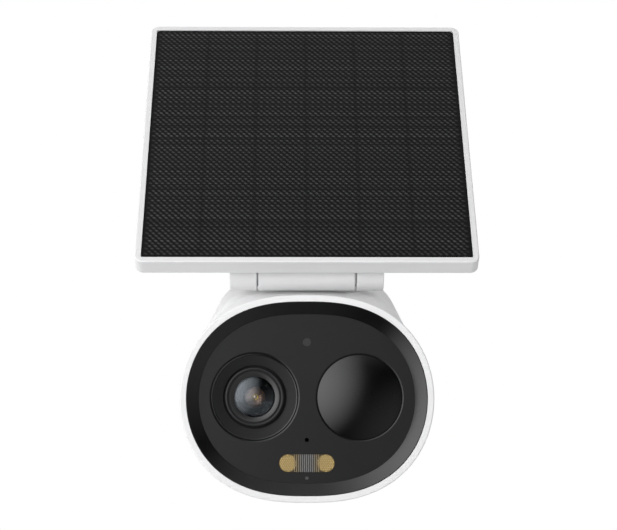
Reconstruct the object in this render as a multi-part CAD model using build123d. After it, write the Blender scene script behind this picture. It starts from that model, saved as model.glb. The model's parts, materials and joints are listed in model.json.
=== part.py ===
from build123d import *
import math
import os

# A solar-powered security camera: an oval camera head with a solar panel hinged on top of it.
# Every size is in millimetres. The origin is the mouth of the threaded insert in the rear face,
# +Z is up, the lens looks along -Y and +X is on the right of someone facing the lens.

# ---- Camera body --------------------------------------------------------------------------
body_width = 76.4
body_height = 62.1
body_depth = 56.0
side_power = 2.575          # superellipse powers of the oval outline
top_power = 2.011
outline_points = 44
wall = 2.2
rear_radius = 9.0           # rounding of the rear edge
front_shell_depth = 12.0
rim_width = 1.95            # white rim seen around the bezel
rim_fillet = 0.4
reveal_depth = 0.3          # shadow line between the front shell and the rear housing
reveal_width = 0.35
joint_gap = 0.05            # slip fit between pieces of one body
fit_gap = 0.1               # wider slip fit, around a screw or a plug-in part
cut_over = 1.0              # how far a cutting shape runs past the face that it cuts

# ---- Neck: the raised top of the housing, which carries the hinge -------------------------
neck_half_width = 24.0      # at its top
neck_lift = 5.95            # of its top above the top of the oval
neck_corner_power = 14      # higher is a sharper corner
neck_land = 3.0             # plain oval between the face and the neck
neck_rise = 21.0            # how far it takes to rise
neck_fall = 14.0
neck_rear_margin = 1.0      # plain oval between the neck and the rounded rear edge
neck_stations = 8           # sections along its length
shell_stations = 4

# ---- Hinge --------------------------------------------------------------------------------
hinge_setback = 8.2         # axis behind the face
hinge_lift = 7.85           # axis above the top of the oval
knuckle_radius = 6.0
barrel_length = 29.4
barrel_edge = 0.3
ear_width = 8.2
ear_edge = 0.4
ear_web_front = 2.5         # how far the ear's foot reaches ahead of the axis
hinge_gap = 0.5             # between barrel and ear, filled by a friction washer
washer_radius = 4.6
washer_gap = 0.02
pin_radius = 2.2
pin_bore_radius = 1.3
pin_depth = 8.5             # how far each pin reaches into the barrel
pin_press = 0.01            # radial room of a pin in its ear
running_clearance = 0.05
end_cap_radius = 3.6
end_cap_depth = 1.0
web_width = 26.0
web_height = 5.0            # top of the web above the axis, at the barrel
web_length = 16.0
web_sink = 0.6              # how far the web's ends are sunk in the neck
lead_radius = 0.45
lead_bore_radius = 1.5
lead_end_gap = 0.3          # between the two leads where they meet in the barrel

# ---- Solar panel --------------------------------------------------------------------------
panel_side = 103.3
panel_thickness = 5.35
panel_tilt = 55.0           # of the panel above the horizontal, at rest
panel_edge_margin = 0.2     # lower edge of the panel ahead of the knuckles
panel_stand_off = 6.45      # hinge axis to the underside of the panel
panel_corner = 2.6
panel_edge_fillet = 0.35
panel_rim = 1.85
panel_lip = 0.25            # rim above the laminate
panel_shelf = 4.0           # ledge under the laminate
pocket_corner = 0.5
laminate_thickness = 0.7
cell_thickness = 0.4
cell_margin = 1.4
cell_columns = 6
cell_gap = 0.8
backing_thickness = 0.8
back_cover_thickness = 1.2
charge_board_length = 34.0
charge_board_width = 16.0
charge_board_thickness = 0.8
charge_board_x = 10.0
charge_board_rise = 8.0     # its near edge above the hinge axis, up the slope
panel_screw_radius = 0.9
panel_screw_head_radius = 1.7
panel_screw_head = 0.7
panel_screw_length = 1.9
panel_boss_radius = 2.4
panel_boss_inset = 1.0      # boss centre inside the ledge's edge
cover_slot_length = 4.0     # way for the lead through the back cover
lead_reach = 7.8            # up the slope, to the charge board

# ---- Bezel and front plate ----------------------------------------------------------------
bezel_step = 0.2            # bezel edge behind the rim
bezel_land = 0.25           # flat edge around the slope
bezel_slope_width = 3.65
bezel_slope_depth = 3.0
bezel_back_depth = 7.2      # bezel's rear face behind the rim
plate_thickness = 1.8
plate_ledge = 0.7

# ---- Lens ---------------------------------------------------------------------------------
lens_share = 0.400          # place between the centre line (0) and the plate's edge (1)
lens_z = 0.45
trim_radius = 13.05
trim_groove = 0.55          # sloping mouth of the plate's hole, around the ring
trim_flange = 1.2
trim_proud = 0.05
trim_lip = 0.4
funnel_inner_radius = 9.6
funnel_depth = 2.1
barrel_radius = 9.0
barrel_head_edge = 0.3
barrel_head_length = 5.0
barrel_tail_radius = 6.5
barrel_tail_length = 6.0
barrel_setback = 1.3        # barrel face behind the plate face
glass_radius = 6.35
glass_crown = 1.2
glass_edge = 1.2
glass_sink = 0.2            # crown's root inside the flat disc
retainer_inner = 6.1
retainer_outer = 7.2
retainer_height = 0.5
retainer_proud = 0.1
lens_bore_radius = 5.6
element_gap = 1.2           # front glass to the first inner element
element_pitch = 4.0
element_lengths = (2.4, 2.2)
element_crowns = ((0.7, 0.5), (0.4, 0.8))

# ---- Lens holder, filter and image sensor -------------------------------------------------
holder_half_width = 13.5
holder_half_height = 8.0
holder_collar_radius = 8.2
holder_collar_gap = 0.2     # behind the front board
holder_gap = 0.3            # between barrel and holder floor
holder_bore_radius = 4.5
holder_floor = 0.7
sensor_bay_half = 5.0
sensor_bay_depth = 1.6
filter_slot_half_length = 11.0
filter_slot_half_height = 4.2
filter_slot_depth = 1.2
filter_travel = 6.5
filter_window = 5.6
filter_height = 7.8
filter_end = 3.8            # frame beyond the middle of its outer window
filter_play = 0.2
filter_glass = 0.5
actuator_length = 8.0
actuator_height = 3.2
actuator_depth = 3.6
actuator_cheek = 0.8
actuator_cheek_height = 4.0
actuator_cheek_depth = 4.0
image_sensor_width = 7.2
image_sensor_height = 6.0
image_sensor_depth = 1.0
sensor_board_side = 25.0

# ---- Motion sensor ------------------------------------------------------------------------
dome_share = 0.433          # place between the centre line (0) and the plate's edge (1)
dome_z = 0.35
dome_radius = 12.7
dome_groove = 0.6           # sloping mouth of the plate's hole, around the dome
mouth_slope = 0.47           # fall of both sloping mouths, for each millimetre across
dome_crown = 3.6
dome_wall = 0.8
dome_flange = 1.2
dome_flange_height = 0.8
dome_root = 0.1             # crown's rim ahead of the plate face
baffle_wall = 1.3
pir_can_radius = 4.6
pir_can_height = 4.2
pir_base = 0.4              # base ring beyond the can
pir_base_height = 0.6
pir_window_half = 2.0
pir_window_depth = 0.3

# ---- Small things on the front centre line ------------------------------------------------
light_window_drop = 14.1   # below the top of the oval
light_window_radius = 1.3
light_sensor_side = 2.4
light_sensor_height = 0.9
microphone_rise = 18.6     # above the bottom of the oval
microphone_hole = 0.63
microphone_width = 3.6
microphone_length = 2.8
microphone_height = 1.0
microphone_port = 0.3
microphone_seal_radius = 2.1
spotlight_rise = 11.65      # above the bottom of the oval
spotlight_length = 16.9
spotlight_height = 5.5
spotlight_flange = 0.9
spotlight_flange_height = 0.8
led_radius = 2.6
led_height = 1.0
led_margin = 0.1
status_rise = 7.2           # above the bottom of the oval
status_radius = 0.5
status_flange = 0.25
status_led_width = 1.6
status_led_length = 1.0
status_led_height = 0.8
window_slip = 0.02          # radial room of the small windows

# ---- Boards and battery -------------------------------------------------------------------
board_thickness = 1.4
front_board_side_margin = 9.2   # from the oval's side to the front board
front_board_top_margin = 4.55
front_board_gap = 6.4       # back of the plate to the front board
standoff_radius = 2.2
upper_post_x = 8.5
upper_post_inset = 6.0      # from the front board's top edge
lower_post_x = 13.0
lower_post_inset = 7.0
battery_side_room = 13.3    # from the oval's side to the end of a cell
battery_end_room = 12.35    # from the oval's top to the upper cell
battery_gap = 1.0           # between the two cells
cell_edge = 0.6
cell_clearance = 0.6        # rear of the cells in front of the insert
contact_thickness = 0.4
contact_ahead = 4.0
contact_behind = 1.6
contact_overlap = 3.4       # contact plate beyond the middle of each cell
chassis_thickness = 1.5
chassis_inset = 7.6
chassis_side = 1.4
chassis_gap = 0.1
board_standoff = 1.4
main_board_side_margin = 16.2   # from the oval's side to the main board
main_board_top_margin = 14.05
main_board_bottom_margin = 7.05
main_board_screw_inset = 3.0
main_board_low_screw = 10.0     # lower screws above the board's bottom edge
connector_height = 2.2
sensor_connector = (1.0, 4.0, 9.0, 4.0)     # x from the lens axis, z, width, height
lead_connector_width = 4.4
lead_connector_length = 4.0
lead_connector_height = 2.6
lead_connector_inset = 0.6
board_chips = (             # x, z, width, height and thickness of each package
    (9.25, 1.5, 15.5, 15.0, 1.6),
    (-9.0, -4.0, 10.0, 10.0, 1.0),
    (6.5, 13.25, 5.0, 4.5, 1.0),
)
antenna_length = 26.0
antenna_width = 3.6
antenna_thickness = 0.4
antenna_drop = 9.4          # below the top of the oval

# ---- Wall fixing --------------------------------------------------------------------------
insert_radius = 5.0
insert_length = 9.0
insert_bore_radius = 2.55   # tapping size of a 1/4-20 thread
insert_press = 0.01
boss_wall = 2.4

# ---- Service port, under a flap in the bottom ---------------------------------------------
flap_length = 28.6
flap_depth = 9.4
flap_thickness = 1.2
flap_recess = 1.35          # flap's face inside the bottom of the oval
flap_gap = 0.3
flap_pull_length = 8.0
flap_pull_width = 1.0
flap_pull_height = 0.6
port_floor = 1.5
port_pad_margin = 2.0
usb_x = -3.1
usb_width = 9.0
usb_height = 3.3
usb_length = 7.3
usb_wall = 0.35
usb_room = 0.15             # around the connector in the floor
usb_recess = 0.2            # connector's mouth behind the floor's face
usb_tongue_width = 6.6
usb_tongue_height = 0.7
usb_tongue_recess = 0.8
card_x = 8.2
card_width = 11.4
card_slot = 1.3
card_room = 0.15
card_slit = 1.1
socket_width = 13.4
socket_length = 14.6
socket_height = 1.9
power_x = -12.3
power_radius = 1.3
reset_x = -9.3
reset_radius = 0.8
button_setback = 1.5        # button axis ahead of the main board
button_travel = 0.6
button_flange = 0.4
button_flange_height = 0.58
button_rest = 0.02          # flange above the port floor
button_recess = 0.2
switch_width = 2.9
switch_depth = 2.6
switch_height = 2.8

# ---- Speaker ------------------------------------------------------------------------------
speaker_y = -18.5
speaker_length = 18.0
speaker_width = 12.0
speaker_height = 3.6
speaker_gasket = 0.8
speaker_gasket_width = 1.5
speaker_seat = 1.3          # pad around the speaker
speaker_pad = 0.6           # pad above the housing's wall
speaker_well = 0.7          # pocket ahead of the cone
speaker_hole = 0.7
speaker_hole_pitch = 2.8
speaker_hole_columns = 5
speaker_hole_rows = 3

# ---- Gasket and screws --------------------------------------------------------------------
gasket_inset = 0.6          # groove inside the outline
gasket_width = 1.0
gasket_depth = 0.8
screw_radius = 1.1
screw_head_radius = 2.0
screw_head = 1.3
screw_slot_reach = 1.2      # cross recess, in head radii
screw_slot_width = 0.25
screw_length = 7.0
main_board_screw_length = 2.6
front_board_screw_length = 5.0
boss_radius = 2.8
boss_inset = 0.6            # housing bosses merge this far with the wall
chassis_boss_gap = 0.4
housing_boss_turns = (67, 113, 247, 293)    # degrees clockwise from the top
chassis_boss_turns = (30, 150, 210, 330)
lug_thickness = 2.0

# ---- Places worked out from the sizes above -----------------------------------------------
half_width = body_width / 2
half_height = body_height / 2
face_y = -body_depth
seam_y = face_y + front_shell_depth
neck_height = half_height + neck_lift
neck_start_y = face_y + neck_land
neck_back_y = -rear_radius - neck_rear_margin
hinge_y = face_y + hinge_setback
hinge_z = half_height + hinge_lift
plate_y = face_y + bezel_step + bezel_slope_depth
plate_back_y = plate_y + plate_thickness
plate_inset = rim_width + bezel_slope_width
plate_half_width = half_width - plate_inset
bezel_back_y = face_y + bezel_back_depth
trim_reach = trim_radius + trim_groove
dome_reach = dome_radius + dome_groove
lens_x = -trim_reach - lens_share * (plate_half_width - 2 * trim_reach)
dome_x = dome_reach + dome_share * (plate_half_width - 2 * dome_reach)
light_window_z = half_height - light_window_drop
microphone_z = microphone_rise - half_height
spotlight_z = spotlight_rise - half_height
status_z = status_rise - half_height
front_board_y = plate_back_y + front_board_gap
front_board_back_y = front_board_y + board_thickness
front_board_width = body_width - 2 * front_board_side_margin
front_board_height = body_height - 2 * front_board_top_margin
cell_length = body_width - 2 * battery_side_room
cell_radius = (half_height - battery_end_room - battery_gap / 2) / 2
cell_spacing = 2 * cell_radius + battery_gap
cell_y = -insert_length - cell_clearance - cell_radius
chassis_back_y = cell_y - cell_radius - chassis_gap
chassis_y = chassis_back_y - chassis_thickness
main_board_back_y = chassis_y - board_standoff
main_board_y = main_board_back_y - board_thickness
main_board_width = body_width - 2 * main_board_side_margin
main_board_top = half_height - main_board_top_margin
main_board_bottom = main_board_bottom_margin - half_height
sensor_board_back_y = main_board_y - connector_height
sensor_board_y = sensor_board_back_y - board_thickness
barrel_face_y = plate_y + barrel_setback
barrel_step_y = barrel_face_y + barrel_head_length
barrel_back_y = barrel_step_y + barrel_tail_length
glass_seat_y = barrel_face_y + retainer_height
glass_back_y = glass_seat_y + glass_edge
holder_collar_y = front_board_back_y + holder_collar_gap
holder_y = barrel_back_y + holder_gap
filter_y = holder_y + holder_floor
led_front_y = plate_back_y + spotlight_flange_height + joint_gap
led_back_y = led_front_y + led_height
flap_face_z = flap_recess - half_height
flap_inner_z = flap_face_z + flap_thickness
port_floor_z = flap_inner_z + flap_gap
port_inner_z = port_floor_z + port_floor
flap_y = main_board_y - usb_height / 2
flap_hinge_y = flap_y + flap_depth / 2 - flap_gap - flap_thickness / 2
flap_hinge_z = flap_face_z + flap_thickness / 2
button_y = main_board_y - button_setback
speaker_seat_z = wall + speaker_pad - half_height
half_barrel = barrel_length / 2
ear_inner = half_barrel + hinge_gap
ear_outer = ear_inner + ear_width
pin_inner = half_barrel - pin_depth
lead_x = ear_outer - end_cap_depth - lead_bore_radius - fit_gap
panel_low = -knuckle_radius - panel_edge_margin
panel_middle = panel_low + panel_side / 2
panel_top = panel_stand_off + panel_thickness
laminate_z = panel_top - panel_lip - laminate_thickness
backing_z = laminate_z - cell_thickness - backing_thickness
cover_z = panel_stand_off + back_cover_thickness

os.makedirs("parts", exist_ok=True)


# ---- Drawing helpers ----------------------------------------------------------------------
def block(x0, x1, y0, y1, z0, z1):
    """Box between two corners."""
    middle = ((x0 + x1) / 2, (y0 + y1) / 2, (z0 + z1) / 2)
    return Pos(*middle) * Box(abs(x1 - x0), abs(y1 - y0), abs(z1 - z0))


def slab(x, z, width, height, y0, y1):
    """Box between y0 and y1 about a middle (x, z)."""
    return block(x - width / 2, x + width / 2, y0, y1, z - height / 2, z + height / 2)


def pad(x, y, width, depth, z0, z1):
    """Box between z0 and z1 about a middle (x, y)."""
    return block(x - width / 2, x + width / 2, y - depth / 2, y + depth / 2, z0, z1)


def rod_y(radius, y0, y1, x=0, z=0):
    """Cylinder along Y from y0 to y1."""
    return Pos(x, (y0 + y1) / 2, z) * Rot(90, 0, 0) * Cylinder(radius, abs(y1 - y0))


def rod_x(radius, x0, x1, y=0, z=0):
    """Cylinder along X from x0 to x1."""
    return Pos((x0 + x1) / 2, y, z) * Rot(0, 90, 0) * Cylinder(radius, abs(x1 - x0))


def rod_z(radius, z0, z1, x=0, y=0):
    """Cylinder along Z from z0 to z1."""
    return Pos(x, y, (z0 + z1) / 2) * Cylinder(radius, abs(z1 - z0))


def tube_y(outer, inner, y0, y1, x=0, z=0):
    """Ring along Y."""
    return rod_y(outer, y0, y1, x, z) - rod_y(inner, y0 - cut_over, y1 + cut_over, x, z)


def turned(points, x=0, z=0):
    """Solid of revolution about the line along Y through (x, z); points are (radius, y)."""
    profile = make_face(Polyline(*[(r, y, 0) for r, y in points], close=True))
    return Pos(x, 0, z) * revolve(profile, Axis.Y)


def stadium(length, height, y0, y1, x=0, z=0):
    """Slot-shaped block along Y."""
    shape = Plane.XZ * SlotOverall(length, height)
    return Pos(x, y1, z) * extrude(shape, amount=y1 - y0)


def oval_height(across, half_oval_height):
    """Height of the superellipse at a share of its half width."""
    return half_oval_height * (1 - abs(across) ** side_power) ** (1 / top_power)


def oval_points(inset, turns):
    """Points (x, z) on the inset oval at the given turns, in degrees clockwise from the top."""
    points = []
    for turn in turns:
        across = math.sin(math.radians(turn))
        height = oval_height(across, half_height - inset)
        points.append(((half_width - inset) * across, math.copysign(height, math.cos(math.radians(turn)))))
    return points


def oval_outline(inset):
    """Points round the inset oval, clockwise from the top."""
    return oval_points(inset, [360 * k / outline_points for k in range(outline_points)])


def closed_wire(outline, y):
    """Smooth closed wire through (x, z) points in the plane at y."""
    return Wire([Spline(*[(x, y, z) for x, z in outline], periodic=True)])


def outline_prism(outline, y0, y1):
    """Block of a closed outline between y0 and y1."""
    return extrude(Face(closed_wire(outline, y0)), amount=y1 - y0, dir=(0, 1, 0))


def oval_prism(inset, y0, y1):
    """Oval block between y0 and y1, inset from the body's outline."""
    return outline_prism(oval_outline(inset), y0, y1)


def oval_block(width, height, y0, y1):
    """Oval block of a stated width and height."""
    outline = [(x * width / body_width, z * height / body_height) for x, z in oval_outline(0)]
    return outline_prism(outline, y0, y1)


def oval_taper(inset0, y0, inset1, y1):
    """Oval block whose inset changes from y0 to y1."""
    return Solid.make_loft([closed_wire(oval_outline(i), y) for i, y in ((inset0, y0), (inset1, y1))], True)


def screw(length, head_radius=screw_head_radius, head=screw_head, radius=screw_radius):
    """Cross-head screw pointing down, with the seat of its head at the origin."""
    body = rod_z(head_radius, 0, head) + rod_z(radius, -length, 0)
    arm, slot = head_radius * screw_slot_reach, head_radius * screw_slot_width
    return body - [Pos(0, 0, head) * Box(arm, slot, head), Pos(0, 0, head) * Box(slot, arm, head)]


def screw_back(x, y, z, length):
    """Screw driven towards the rear, with the seat of its head at y."""
    return Pos(x, y, z) * Rot(90, 0, 0) * screw(length)


def screw_forward(x, y, z, length):
    """Screw driven towards the front, with the seat of its head at y."""
    return Pos(x, y, z) * Rot(-90, 0, 0) * screw(length)


def lead(points, radius):
    """Round wire along straight runs joined by arcs as large as the runs allow."""
    points = [Vector(*p) for p in points]
    runs = [b - a for a, b in zip(points, points[1:])]
    radii = []
    for a, b in zip(runs, runs[1:]):
        half_turn = math.radians(a.get_angle(b)) / 2
        radii.append(0.45 * min(a.length, b.length) / math.tan(half_turn))
    path = FilletPolyline(*points, radius=radii)
    start = Plane(origin=points[0], z_dir=runs[0])
    return sweep(start * Circle(radius), path=path)


def on_panel(shape):
    """Moves a shape from the panel's own frame, with its underside up the slope along Y, to its place."""
    return Pos(0, hinge_y, hinge_z) * Rot(panel_tilt, 0, 0) * shape


def save(name, *solids):
    """Write one node, as one solid or as a group of them."""
    shape = solids[0] if len(solids) == 1 else Compound(children=list(solids))
    export_step(shape, f"parts/{name}.step")


# ---- Housing ------------------------------------------------------------------------------
def smooth_step(t):
    t = min(1.0, max(0.0, t))
    return t * t * (3 - 2 * t)


def neck_share(y, start_y):
    """How much of the neck stands at y, from 0 to 1, if it starts to rise at start_y."""
    rising = smooth_step((y - start_y) / neck_rise)
    falling = smooth_step((neck_back_y - y) / neck_fall)
    return rising * falling


def housing_outline(inset, share):
    """Oval with its top drawn up to the neck's flat top and straight sides."""
    outline = oval_outline(inset)
    corner = Vector(neck_half_width - inset, neck_height - inset)
    right = [Vector(x, z) for x, z in outline if x > 0 and z > 0]
    touch = max(right, key=lambda p: math.atan2(p.X - corner.X, corner.Y - p.Y))
    side = (touch - corner).normalized()
    normal = Vector(-side.Y, side.X)
    reach = normal.dot(corner)
    points = []
    for x, z in outline:
        radius = math.hypot(x, z)
        if z > touch.Y and share > 0:
            way = Vector(abs(x), z) / radius
            to_side = abs(reach / normal.dot(way))
            to_top = corner.Y / way.Y
            hull = (to_side ** -neck_corner_power + to_top ** -neck_corner_power) ** (-1 / neck_corner_power)
            scale = 1 + share * max(0.0, hull / radius - 1)
            x, z = x * scale, z * scale
        points.append((x, z))
    return points


def neck_loft(inset, front_y, back_y, start_y, stations):
    """Length of the housing's shape between front_y and back_y, where the neck rises from start_y."""
    wires = []
    for k in range(stations + 1):
        y = front_y + (back_y - front_y) * k / stations
        wires.append(closed_wire(housing_outline(inset, neck_share(y, start_y)), y))
    return Solid.make_loft(wires, False)


def housing_form(inset, front_y, start_y):
    """Solid housing shape: the neck's length, and behind it an oval end with a rounded edge."""
    end = oval_prism(inset, neck_back_y, -inset)
    end = fillet(end.edges().group_by(Axis.Y)[-1], rear_radius - inset)
    return neck_loft(inset, front_y, neck_back_y, start_y, neck_stations) + end


def housing_boss_spots():
    """Bosses beside the battery that take the housing screws."""
    return oval_points(wall + boss_radius - boss_inset, housing_boss_turns)


def chassis_boss_spots():
    """Bosses above and below the battery that take the chassis screws."""
    return oval_points(wall + boss_radius + chassis_boss_gap, chassis_boss_turns)


def standoff_spots():
    """Posts behind the front plate that take the front board's screws."""
    upper = front_board_height / 2 - upper_post_inset
    lower = lower_post_inset - front_board_height / 2
    return [(-upper_post_x, upper), (upper_post_x, upper), (-lower_post_x, lower), (lower_post_x, lower)]


def board_spots():
    """Corner fixings of the main board."""
    across = main_board_width / 2 - main_board_screw_inset
    upper = main_board_top - main_board_screw_inset
    lower = main_board_bottom + main_board_low_screw
    return [(-across, upper), (across, upper), (-across, lower), (across, lower)]


def hinge_barrel():
    """Middle knuckle of the hinge."""
    barrel = rod_x(knuckle_radius, -half_barrel, half_barrel, hinge_y, hinge_z)
    return fillet(barrel.edges().filter_by(GeomType.CIRCLE), barrel_edge)


def hinge_web():
    """Web that joins the barrel to the neck behind it."""
    back_y = hinge_y + web_length
    middle_y = hinge_y + web_length / 2
    side = Polyline(
        (hinge_y, hinge_z + web_height),
        (middle_y, hinge_z + web_sink),
        (back_y, neck_height - web_sink),
        (back_y, neck_height - wall - web_sink),
        (hinge_y + knuckle_radius + web_sink, neck_height - wall - 3 * web_sink),
        (hinge_y + knuckle_radius / 3, hinge_z - knuckle_radius + 2 * web_sink),
        close=True,
    )
    return extrude(Plane.YZ * make_face(side), amount=web_width / 2, both=True)


def lead_route():
    """The wire from the hinge's middle, back through the web, and down to the main board."""
    board = main_board_y - lead_connector_height / 2
    return [
        (pin_inner - lead_end_gap, hinge_y, hinge_z),
        (0, hinge_y, hinge_z),
        (0, board - lead_bore_radius, neck_height - wall - lead_radius),
        (0, board, main_board_top + knuckle_radius),
        (0, board, main_board_top - lead_connector_inset),
    ]


def housing_hollow():
    """Inside of the rear housing, less the bosses, pads and seats that stand in it."""
    stands = [rod_y(boss_radius, seam_y, cut_over, x, z) for x, z in housing_boss_spots()]
    stands += [rod_y(boss_radius, chassis_back_y, cut_over, x, z) for x, z in chassis_boss_spots()]
    stands.append(rod_y(insert_radius + boss_wall, -insert_length, cut_over))
    long, deep = flap_length + 2 * port_pad_margin, flap_depth + 2 * port_pad_margin
    stands.append(pad(0, flap_y, long, deep, -body_height, port_inner_z))
    long, deep = speaker_length + 2 * speaker_seat, speaker_width + 2 * speaker_seat
    stands.append(pad(0, speaker_y, long, deep, -body_height, speaker_seat_z))
    return housing_form(wall, seam_y - cut_over, seam_y) - stands


def screw_holes():
    """Pilot holes of the housing and chassis screws."""
    holes = []
    for x, z in housing_boss_spots():
        holes.append(rod_y(screw_radius, seam_y - cut_over, seam_y + screw_length, x, z))
    for x, z in chassis_boss_spots():
        holes.append(rod_y(screw_radius, chassis_back_y - cut_over, chassis_back_y + screw_length, x, z))
    return holes


def port_openings():
    """The flap's recess and the holes in its floor."""
    low, high = port_floor_z - cut_over, port_inner_z + cut_over
    card_y = main_board_y - socket_height / 2
    return [
        pad(0, flap_y, flap_length, flap_depth, -body_height, port_floor_z),
        pad(usb_x, flap_y, usb_width + 2 * usb_room, usb_height + 2 * usb_room, low, high),
        pad(card_x, card_y, card_width, card_slot, low, high),
        rod_z(power_radius + fit_gap, low, high, power_x, button_y),
        rod_z(reset_radius + fit_gap, low, high, reset_x, button_y),
    ]


def speaker_openings():
    """Sound holes and the shallow well over them."""
    long, deep = speaker_length - 2 * speaker_gasket_width, speaker_width - 2 * speaker_gasket_width
    cuts = [pad(0, speaker_y, long, deep, speaker_seat_z - speaker_well, speaker_seat_z + cut_over)]
    for column in range(speaker_hole_columns):
        for row in range(speaker_hole_rows):
            x = (column - (speaker_hole_columns - 1) / 2) * speaker_hole_pitch
            y = speaker_y + (row - (speaker_hole_rows - 1) / 2) * speaker_hole_pitch
            cuts.append(rod_z(speaker_hole, -body_height, speaker_seat_z, x, y))
    return cuts


def hinge_bores():
    """Pin bores in the barrel and the way for the lead."""
    bores = []
    for side in (-1, 1):
        radius, end = pin_radius + running_clearance, side * (half_barrel + cut_over)
        bores.append(rod_x(radius, side * pin_inner, end, hinge_y, hinge_z))
    bores.append(rod_x(lead_bore_radius, -pin_inner, pin_inner, hinge_y, hinge_z))
    route = lead_route()[1:4]
    for a, b in zip(route, route[1:]):
        run = Vector(*b) - Vector(*a)
        bore = Pos(0, 0, run.length / 2) * Cylinder(lead_bore_radius, run.length + cut_over)
        bores.append(Plane(origin=a, z_dir=run) * bore)
    return bores


def gasket_ring(gap, front_y, back_y):
    """Oval ring of the seam's gasket, or of its groove if the gap is 0."""
    outer = oval_prism(gasket_inset + gap, front_y, back_y)
    return outer - oval_prism(gasket_inset + gasket_width - gap, front_y - cut_over, back_y + cut_over)


def make_rear_housing():
    shell = housing_form(0, seam_y, neck_start_y) - housing_hollow()
    cuts = [rod_y(insert_radius, -insert_length - cut_over, cut_over)]
    cuts.append(gasket_ring(0, seam_y - cut_over, seam_y + gasket_depth))
    cuts += screw_holes() + port_openings() + speaker_openings() + hinge_bores()
    return shell + [hinge_web(), hinge_barrel()] - cuts


def make_front_shell():
    """Rim and the start of the neck, with a shadow line and four lugs at its rear."""
    rim = oval_prism(0, face_y, neck_start_y)
    rim = fillet(rim.edges().group_by(Axis.Y)[0], rim_fillet)
    reveal_y = seam_y - reveal_width
    neck = neck_loft(0, neck_start_y, reveal_y, neck_start_y, shell_stations)
    reveal = outline_prism(housing_outline(reveal_depth, neck_share(seam_y, neck_start_y)), reveal_y, seam_y)
    ring = rim + [neck, reveal] - oval_prism(rim_width, face_y - cut_over, seam_y + cut_over)
    lugs = []
    for x, z in housing_boss_spots():
        lug = tube_y(boss_radius, screw_radius + fit_gap, seam_y - lug_thickness, seam_y, x, z)
        lugs.append(lug & oval_prism(rim_width / 2, face_y, seam_y))
    return ring + lugs


def make_front_bezel():
    front = face_y + bezel_step
    ring = oval_prism(rim_width + joint_gap, front, bezel_back_y)
    ring -= oval_taper(rim_width + bezel_land, front, plate_inset, plate_y)
    ring -= oval_prism(plate_inset, plate_y, plate_back_y)
    return ring - oval_prism(plate_inset + plate_ledge, plate_back_y, bezel_back_y + cut_over)


def sloping_hole(radius, mouth_radius, x, z):
    """Cutter for a hole in the plate whose front edge slopes out to the mouth radius."""
    before, behind = plate_y - cut_over, plate_back_y + cut_over
    slope_end = plate_y + (mouth_radius - radius) * mouth_slope
    return turned([
        (0, before), (mouth_radius, before), (mouth_radius, plate_y), (radius, slope_end),
        (radius, behind), (0, behind),
    ], x, z)


def make_front_plate():
    before, behind = plate_y - cut_over, plate_back_y + cut_over
    plate = oval_prism(plate_inset + joint_gap, plate_y, plate_back_y) - [
        sloping_hole(trim_radius + fit_gap, trim_reach, lens_x, lens_z),
        sloping_hole(dome_radius + fit_gap, dome_reach, dome_x, dome_z),
        rod_y(light_window_radius, before, behind, 0, light_window_z),
        rod_y(microphone_hole, before, behind, 0, microphone_z),
        rod_y(status_radius, before, behind, 0, status_z),
        stadium(spotlight_length, spotlight_height, before, behind, 0, spotlight_z),
    ]
    posts = []
    for x, z in standoff_spots():
        post = rod_y(standoff_radius, plate_back_y, front_board_y, x, z)
        posts.append(post - rod_y(screw_radius, plate_back_y, front_board_y + cut_over, x, z))
    return plate + posts


# ---- Lens and image sensor ----------------------------------------------------------------
def crown_arc(radius, crown, apex, way):
    """Half profile of a spherical crown, from its apex on the axis out to its radius."""
    if crown == 0:
        return Line((0, apex), (radius, apex))
    ball = (radius ** 2 + crown ** 2) / (2 * crown)
    half = math.asin(radius / ball) / 2
    middle = (ball * math.sin(half), apex + way * ball * (1 - math.cos(half)))
    return ThreePointArc((0, apex), middle, (radius, apex + way * crown))


def crowned_disc(radius, y0, y1, front_crown, back_crown, x, z):
    """Disc between y0 and y1 whose faces are crowned inside that length."""
    front = crown_arc(radius, front_crown, y0, 1)
    back = crown_arc(radius, back_crown, y1, -1)
    side = Line((radius, y0 + front_crown), (radius, y1 - back_crown))
    profile = make_face([front, side, back, Line((0, y1), (0, y0))])
    return Pos(x, 0, z) * revolve(profile, Axis.Y)


def make_lens_trim_ring():
    front = plate_y - trim_proud
    flange_y = plate_back_y + trim_flange
    flange_radius = trim_radius + trim_flange
    return turned([
        (trim_radius, front), (trim_radius - trim_lip, front), (funnel_inner_radius, front + funnel_depth),
        (funnel_inner_radius, flange_y), (flange_radius, flange_y),
        (flange_radius, plate_back_y), (trim_radius, plate_back_y),
    ], lens_x, lens_z)


def make_lens_barrel():
    barrel = rod_y(barrel_radius, barrel_face_y, barrel_step_y, lens_x, lens_z)
    barrel += rod_y(barrel_tail_radius, barrel_step_y, barrel_back_y, lens_x, lens_z)
    barrel -= [
        rod_y(retainer_outer, barrel_face_y - cut_over, glass_seat_y, lens_x, lens_z),
        rod_y(glass_radius, barrel_face_y, glass_back_y, lens_x, lens_z),
        rod_y(lens_bore_radius, barrel_face_y, barrel_back_y + cut_over, lens_x, lens_z),
    ]
    return fillet(barrel.edges().group_by(Axis.Y)[0].sort_by(SortBy.RADIUS)[-1], barrel_head_edge)


def make_front_glass():
    disc = rod_y(glass_radius, glass_seat_y, glass_back_y, lens_x, lens_z)
    inner = retainer_inner - joint_gap
    front, root = glass_seat_y - glass_crown, glass_seat_y + glass_sink
    return disc + crowned_disc(inner, front, root, glass_crown, 0, lens_x, lens_z)


def make_lens_elements():
    elements = []
    for k, (length, crowns) in enumerate(zip(element_lengths, element_crowns)):
        start = glass_back_y + element_gap + k * element_pitch
        elements.append(crowned_disc(lens_bore_radius, start, start + length, *crowns, lens_x, lens_z))
    return elements


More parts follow.
